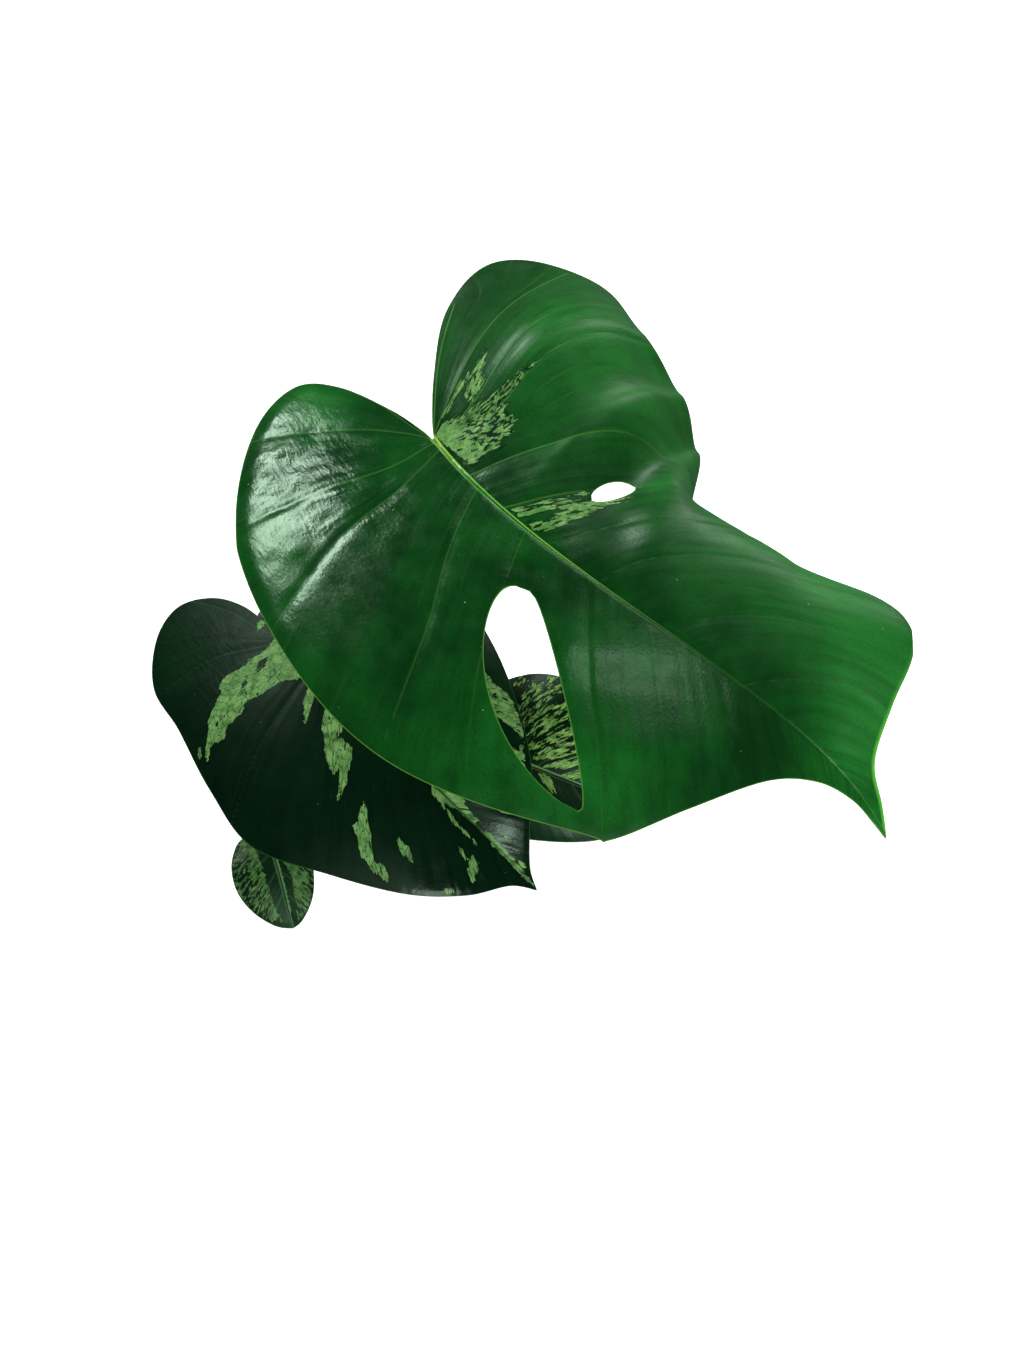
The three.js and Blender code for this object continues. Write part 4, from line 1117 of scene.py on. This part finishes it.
def setPiece(piece, finish, node):
    piece.data.materials.append(finish)
    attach(piece, "root")
    if node:
        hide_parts(node)


stemPiece = makeBar("mainStem", stemPlan, stemPlan["route"], stemRadius, (0, 1, 0))
setPiece(stemPiece, stemFinish(stemLook), "stem")
petioleSkin = petioleFinish(petioleLook)
for leafName, plan in petiolePlans.items():
    route, up = petioleRoute(leafName, plan)
    bar = makeBar(f"petiole{leafName.capitalize()}", petioleShape | plan, route, petioleRadius(plan), up)
    setPiece(bar, petioleSkin, f"petiole_{leafName}")
rootSkin = rootFinish(rootLook)
for side, plan in rootPlans.items():
    radiusAt = rootRadius(plan["seed"])
    bar = makeBar(f"aerialRoot{side.capitalize()}", rootShape, plan["route"], radiusAt, (0, 1, 0))
    setPiece(bar, rootSkin, f"aerial_root_{side}")
print("petioles, stem and roots made")


# nursery pot, spun from its profile
potPlan = {"height": 92, "rimRadius": 50, "baseRadius": 36, "wall": 1.6, "floor": 2, "lipHeight": 12,
           "lipStep": 2.4, "edge": 0.8, "footWidth": 6, "footSlope": 0.8, "footRise": 0.5, "rings": 26,
           "grooveEvery": 13, "grooveRings": (5, 6, 7), "grooveDepth": 0.18, "lipHollow": 0.25,
           "lipHollowFrom": 4, "lipHollowTo": 5, "drainCount": 6, "drainRadius": 4, "drainCircle": 23,
           "sides": 120, "sharpFrom": 50}
potLook = {"deep": (34, 36, 38), "light": (46, 48, 50), "dust": (76, 75, 71), "rough": (0.4, 0.5),
           "dustRough": 0.25, "haze": (22, 4, 0.6), "scuffs": (1, 5, 0.65), "scuffStretch": (45, 45, 110),
           "skin": (1400, 2, 0.5), "bump": (0.25, 0.0003)}


def potWallRadius(height):
    share = min(1, height / (potPlan["height"] - potPlan["lipHeight"]))
    return potPlan["baseRadius"] + (potPlan["rimRadius"] - potPlan["lipStep"] - potPlan["baseRadius"]) * share


def quarter(centre, radius, start, end, pieces=4):
    # points of an arc in the profile, angles in degrees from straight out
    angles = [math.radians(start + (end - start) * step / pieces) for step in range(pieces + 1)]
    return [(centre[0] + radius * math.cos(angle), centre[1] + radius * math.sin(angle)) for angle in angles]


def spinProfile(name, profile, sides):
    form = bmesh.new()
    corners = [form.verts.new((radius * mm, 0, height * mm)) for radius, height in profile]
    edges = [form.edges.new(pair) for pair in zip(corners[:-1], corners[1:])]
    bmesh.ops.spin(form, geom=corners + edges, cent=(0, 0, 0), axis=(0, 0, 1), dvec=(0, 0, 0),
                   angle=2 * math.pi, steps=sides, use_merge=True)
    bmesh.ops.remove_doubles(form, verts=form.verts[:], dist=0.00001)
    smoothOut(form)
    piece = newPiece(name, form)
    piece.data.set_sharp_from_angle(angle=math.radians(potPlan["sharpFrom"]))
    return piece


def potProfile(plan):
    # up the outside from the middle of the base, over the lip and down the inside
    edge, wall, floor = plan["edge"], plan["wall"], plan["floor"]
    rim, height, base = plan["rimRadius"], plan["height"], plan["baseRadius"]
    lipFoot = height - plan["lipHeight"]
    underLip = potWallRadius(lipFoot)
    foot = base - plan["footWidth"]
    profile = [(0, plan["footRise"]), (foot, plan["footRise"]), (foot + plan["footSlope"], 0)]
    profile += quarter((base - edge, edge), edge, -90, -10)
    for step in range(1, plan["rings"]):
        level = edge + (lipFoot - edge) * step / plan["rings"]
        groove = plan["grooveDepth"] if step % plan["grooveEvery"] in plan["grooveRings"] else 0
        profile.append((potWallRadius(level) - groove, level))
    profile += [(underLip, lipFoot - 0.4), (underLip + 0.3, lipFoot)]
    profile += quarter((rim - edge, lipFoot + edge), edge, -90, 0)
    hollow = rim - plan["lipHollow"]
    profile += [(hollow, lipFoot + plan["lipHollowFrom"]), (hollow, height - plan["lipHollowTo"])]
    profile += quarter((rim - edge, height - edge), edge, 0, 90)
    profile += quarter((rim - wall - edge, height - edge), edge * 0.6, 90, 170)
    return profile + [(underLip - wall, lipFoot - edge), (potWallRadius(floor) - wall, floor), (0, floor)]


def makePot(plan):
    pot = spinProfile("nurseryPot", potProfile(plan), plan["sides"])
    drills = bmesh.new()
    for count in range(plan["drainCount"]):
        angle = count / plan["drainCount"] * 2 * math.pi
        circle = plan["drainCircle"] * mm
        place = Matrix.Translation((circle * math.cos(angle), circle * math.sin(angle), 0))
        bmesh.ops.create_cone(drills, cap_ends=True, segments=28, radius1=plan["drainRadius"] * mm,
                              radius2=plan["drainRadius"] * mm, depth=4 * plan["floor"] * mm, matrix=place)
    drill = newPiece("drainHoles", drills)
    cut = pot.modifiers.new("drainHoles", "BOOLEAN")
    cut.operation = "DIFFERENCE"
    cut.solver = "EXACT"
    cut.object = drill
    bpy.context.view_layer.update()
    shaped = bpy.data.meshes.new_from_object(pot.evaluated_get(bpy.context.evaluated_depsgraph_get()))
    pot.modifiers.clear()
    pot.data = shaped
    shaped.set_sharp_from_angle(angle=math.radians(plan["sharpFrom"]))
    bpy.data.objects.remove(drill)
    return pot


def potFinish(look):
    finish, tree, shader = startFinish("potPlastic")
    coords = objectCoords(tree)
    haze = noiseOf(tree, coords, *look["haze"])
    scuffs = noiseOf(tree, stretched(tree, coords, look["scuffStretch"]), *look["scuffs"])
    colour = blendPaint(tree, fade(tree, haze, 0.35, 0.7), look["deep"], look["light"])
    height = addNode(tree, "ShaderNodeSeparateXYZ", {"Vector": coords}).outputs["Z"]
    dust = times(tree, fade(tree, scuffs, 0.5, 0.72), fade(tree, height, 0, 0.05, 0.7, 0.25))
    colour = blendPaint(tree, dust, colour, look["dust"])
    rough = timesPlus(tree, dust, look["dustRough"], fade(tree, haze, 0.3, 0.7, *look["rough"]))
    closeFinish(tree, shader, colour, rough, noiseOf(tree, coords, *look["skin"]), *look["bump"])
    return finish


potPiece = makePot(potPlan)
setPiece(potPiece, potFinish(potLook), "pot")
print("pot made")


# potting mix: a lumpy bed with bark, perlite and charcoal on it
mixPlan = {"top": 80, "mound": 4, "lump": 1.5, "gap": 0.5, "underGap": 0.3, "shoulder": 0.8, "sunk": 0.4,
           "crumbs": [(0.45, 21, 7), (0.35, 22, 3.4), (0.2, 23, 1.9)], "crumbsFromWall": 3, "rings": 60,
           "sides": 150, "tone": ((24, 17, 12), (66, 48, 34), 0.95, 380, 0.001)}
chunkPlans = {
    "barkChips": {"count": 210, "sizes": (4, 10), "seed": 31, "grade": "cube", "wide": (0.5, 0.8),
                  "thick": (0.25, 0.5), "sink": 0.02,
                  "tone": ((62, 40, 26), (128, 86, 54), 0.85, 150, 0.0008)},
    "perliteGrains": {"count": 150, "sizes": (1.8, 4.2), "seed": 32, "grade": "ball", "wide": (0.75, 1.0),
                      "thick": (0.7, 0.95), "sink": 0.12,
                      "tone": ((206, 202, 190), (240, 238, 230), 0.9, 700, 0.0005)},
    "charcoalBits": {"count": 60, "sizes": (2.5, 6), "seed": 33, "grade": "cube", "wide": (0.6, 0.95),
                     "thick": (0.5, 0.8), "sink": 0.05,
                     "tone": ((14, 13, 13), (38, 36, 36), 0.6, 300, 0.0006)},
}
# how all the chunks lie: free spots are round the stem and the roots, as x, y and radius
chunkShape = {"freeSpots": [(-4, 5, 7.4), (-23, -1, 2), (18, 17, 2)], "fromWall": 1, "ownReach": 0.75,
              "ownClear": 0.55, "long": (0.8, 1.1), "lean": 0.5, "bevel": 0.13, "dent": 0.1}


def mixRise(x, y):
    out = np.minimum(1, np.hypot(x, y) / potWallRadius(mixPlan["top"]))
    lumps = np.sin(0.33 * x + 0.4) * np.cos(0.29 * y - 0.7) + 0.5 * np.sin(0.71 * x - 0.53 * y)
    return mixPlan["mound"] * (1 - out * out) + mixPlan["lump"] * lumps * (1 - out ** 6)


def makeMix(plan):
    bottom = potPlan["floor"] + plan["underGap"]
    reach, low = (potWallRadius(level) - potPlan["wall"] - plan["gap"] for level in (plan["top"], bottom))
    profile = [(0, bottom), (low, bottom), (reach, plan["top"] - plan["shoulder"])]
    profile += [(reach * ring / plan["rings"], plan["top"]) for ring in range(plan["rings"], -1, -1)]
    bed = spinProfile("pottingMix", profile, plan["sides"])
    points = readPlaces(bed.data) / mm
    x, y, level = points.T
    crumbs = sum(height * waves(x, y, seed, size) for height, seed, size in plan["crumbs"])
    inside = smoothShare(reach - np.hypot(x, y), 0, plan["crumbsFromWall"])
    raised = level + mixRise(x, y) + crumbs * inside - plan["sunk"]
    points[:, 2] = np.where(level > plan["top"] - plan["shoulder"] / 2, raised, level)
    writePlaces(bed.data, points * mm)
    bed.data.update()
    return bed


def scatterChunks(name, plan):
    # broken pieces strewn on the bed, clear of the stem and the roots
    shape = chunkShape
    draw = random.Random(plan["seed"])
    reach = potWallRadius(mixPlan["top"]) - potPlan["wall"] - shape["fromWall"]
    form = bmesh.new()
    placed = 0
    while placed < plan["count"]:
        size = draw.uniform(*plan["sizes"])
        radius = (reach - size * shape["ownReach"]) * math.sqrt(draw.random())
        angle = draw.uniform(0, 2 * math.pi)
        x, y = radius * math.cos(angle), radius * math.sin(angle)
        if any(math.hypot(x - px, y - py) < clear + size * shape["ownClear"]
               for px, py, clear in shape["freeSpots"]):
            continue
        level = mixPlan["top"] + float(mixRise(np.array([x]), np.array([y]))[0]) + size * plan["sink"]
        lean = shape["lean"]
        turn = Matrix.Rotation(draw.uniform(0, 2 * math.pi), 4, "Z")
        turn = turn @ Matrix.Rotation(draw.uniform(-lean, lean), 4, "X")
        turn = turn @ Matrix.Rotation(draw.uniform(-lean, lean), 4, "Y")
        shares = (shape["long"], plan["wide"], plan["thick"])
        spread = [size * mm * draw.uniform(*share) for share in shares]
        if plan["grade"] == "cube":
            made = bmesh.ops.create_cube(form, size=1)["verts"]
            edges = list({edge for vertex in made for edge in vertex.link_edges})
            made = bmesh.ops.bevel(form, geom=edges, offset=shape["bevel"], segments=1, profile=0.5,
                                   affect="EDGES", material=-1)["verts"]
        else:
            made = bmesh.ops.create_icosphere(form, subdivisions=1, radius=0.5)["verts"]
        for vertex in made:
            vertex.co += Vector([draw.uniform(-shape["dent"], shape["dent"]) for _ in range(3)])
        place = Matrix.Translation((x * mm, y * mm, level * mm)) @ turn @ Matrix.Diagonal((*spread, 1))
        bmesh.ops.transform(form, matrix=place, verts=made)
        placed += 1
    bmesh.ops.recalc_face_normals(form, faces=form.faces[:])
    return newPiece(name, form)


crumbLook = {"patches": (5, 0.65), "layers": (1, 4, 0.6), "layerStretch": (400, 400, 1500),
             "layerShare": 0.45, "bump": 0.8}


def crumbFinish(name, dark, light, rough, scale, relief):
    look = crumbLook
    finish, tree, shader = startFinish(name)
    coords = objectCoords(tree)
    patches = noiseOf(tree, coords, scale, *look["patches"])
    layers = noiseOf(tree, stretched(tree, coords, look["layerStretch"]), *look["layers"])
    colour = blendPaint(tree, fade(tree, patches, 0.34, 0.68), dark, light)
    colour = blendPaint(tree, fade(tree, layers, 0.5, 0.7, 0, look["layerShare"]), colour, dark)
    closeFinish(tree, shader, colour, rough, layers, look["bump"], relief)
    return finish


bed = makeMix(mixPlan)
setPiece(bed, crumbFinish("mixBed", *mixPlan["tone"]), "potting_mix")
for name, plan in chunkPlans.items():
    setPiece(scatterChunks(name, plan), crumbFinish(name, *plan["tone"]), None)
print("potting mix made")


# pale floor, soft studio light; the leaves mirror the floor as a dull green
floorPlan = {"size": 4, "tone": (246, 247, 246), "mottle": (226, 228, 228), "mottleShare": 0.05,
             "rough": 0.75, "mirroredTone": (92, 116, 94), "seenGlow": 0.85}


def makeFloor(plan):
    form = bmesh.new()
    bmesh.ops.create_grid(form, x_segments=4, y_segments=4, size=plan["size"] / 2)
    floor = newPiece("floor", form)
    finish, tree, shader = startFinish("paleFloor")
    mottle = fade(tree, noiseOf(tree, objectCoords(tree), 3, 3), 0.3, 0.7, 0, plan["mottleShare"])
    colour = blendPaint(tree, mottle, plan["tone"], plan["mottle"])
    seen = addNode(tree, "ShaderNodeLightPath").outputs["Is Camera Ray"]
    mirrored = blendPaint(tree, seen, plan["mirroredTone"], colour)
    plugAll(tree, shader, {"Base Color": mirrored, "Emission Color": colour, "Roughness": plan["rough"],
                           "Emission Strength": times(tree, seen, plan["seenGlow"])})
    floor.data.materials.append(finish)


lightPlans = {
    "windowBox": {"place": (-0.7, 0.61, 1.26), "size": (0.74, 0.29), "power": 16.5},
    "rearBox": {"place": (0.9, 1.15, 1.3), "size": (1.1, 1.1), "power": 8.5},
    "backBox": {"place": (0.94, 0.89, 0.5), "size": (0.5, 0.5), "power": 4},
    "topBox": {"place": (0.7, 0.02, 1.29), "size": (0.11, 0.5), "power": 1.05},
    "lowBox": {"place": (0.57, -1.21, 0.17), "size": (0.38, 0.24), "power": 9},
    "frontBox": {"place": (0.1, -1.7, 0.8), "size": (1.4, 0.6), "power": 6},
}
studioPlan = {"aim": (0.06, -0.06, 0.2), "tone": (0.95, 0.97, 0.97, 1), "light": 0.09, "seenLight": 1}


def placeLights(plans, studio):
    for name, plan in plans.items():
        lamp = bpy.data.lights.new(name, "AREA")
        lamp.shape = "RECTANGLE"
        lamp.size, lamp.size_y = plan["size"]
        lamp.energy = plan["power"]
        holder = bpy.data.objects.new(name, lamp)
        holder.location = plan["place"]
        towards = Vector(studio["aim"]) - Vector(plan["place"])
        holder.rotation_euler = towards.to_track_quat("-Z", "Y").to_euler()
        bpy.context.scene.collection.objects.link(holder)
    world = bpy.data.worlds.new("studio")
    world.use_nodes = True
    tree = world.node_tree
    background = tree.nodes["Background"].inputs
    seen = addNode(tree, "ShaderNodeLightPath").outputs["Is Camera Ray"]
    background["Color"].default_value = studio["tone"]
    plug(tree, fade(tree, seen, 0, 1, studio["light"], studio["seenLight"]), background["Strength"])
    bpy.context.scene.world = world


makeFloor(floorPlan)
placeLights(lightPlans, studioPlan)
bpy.context.scene.view_settings.view_transform = "Standard"
bpy.context.scene.view_settings.look = "None"
print("floor and lights placed")
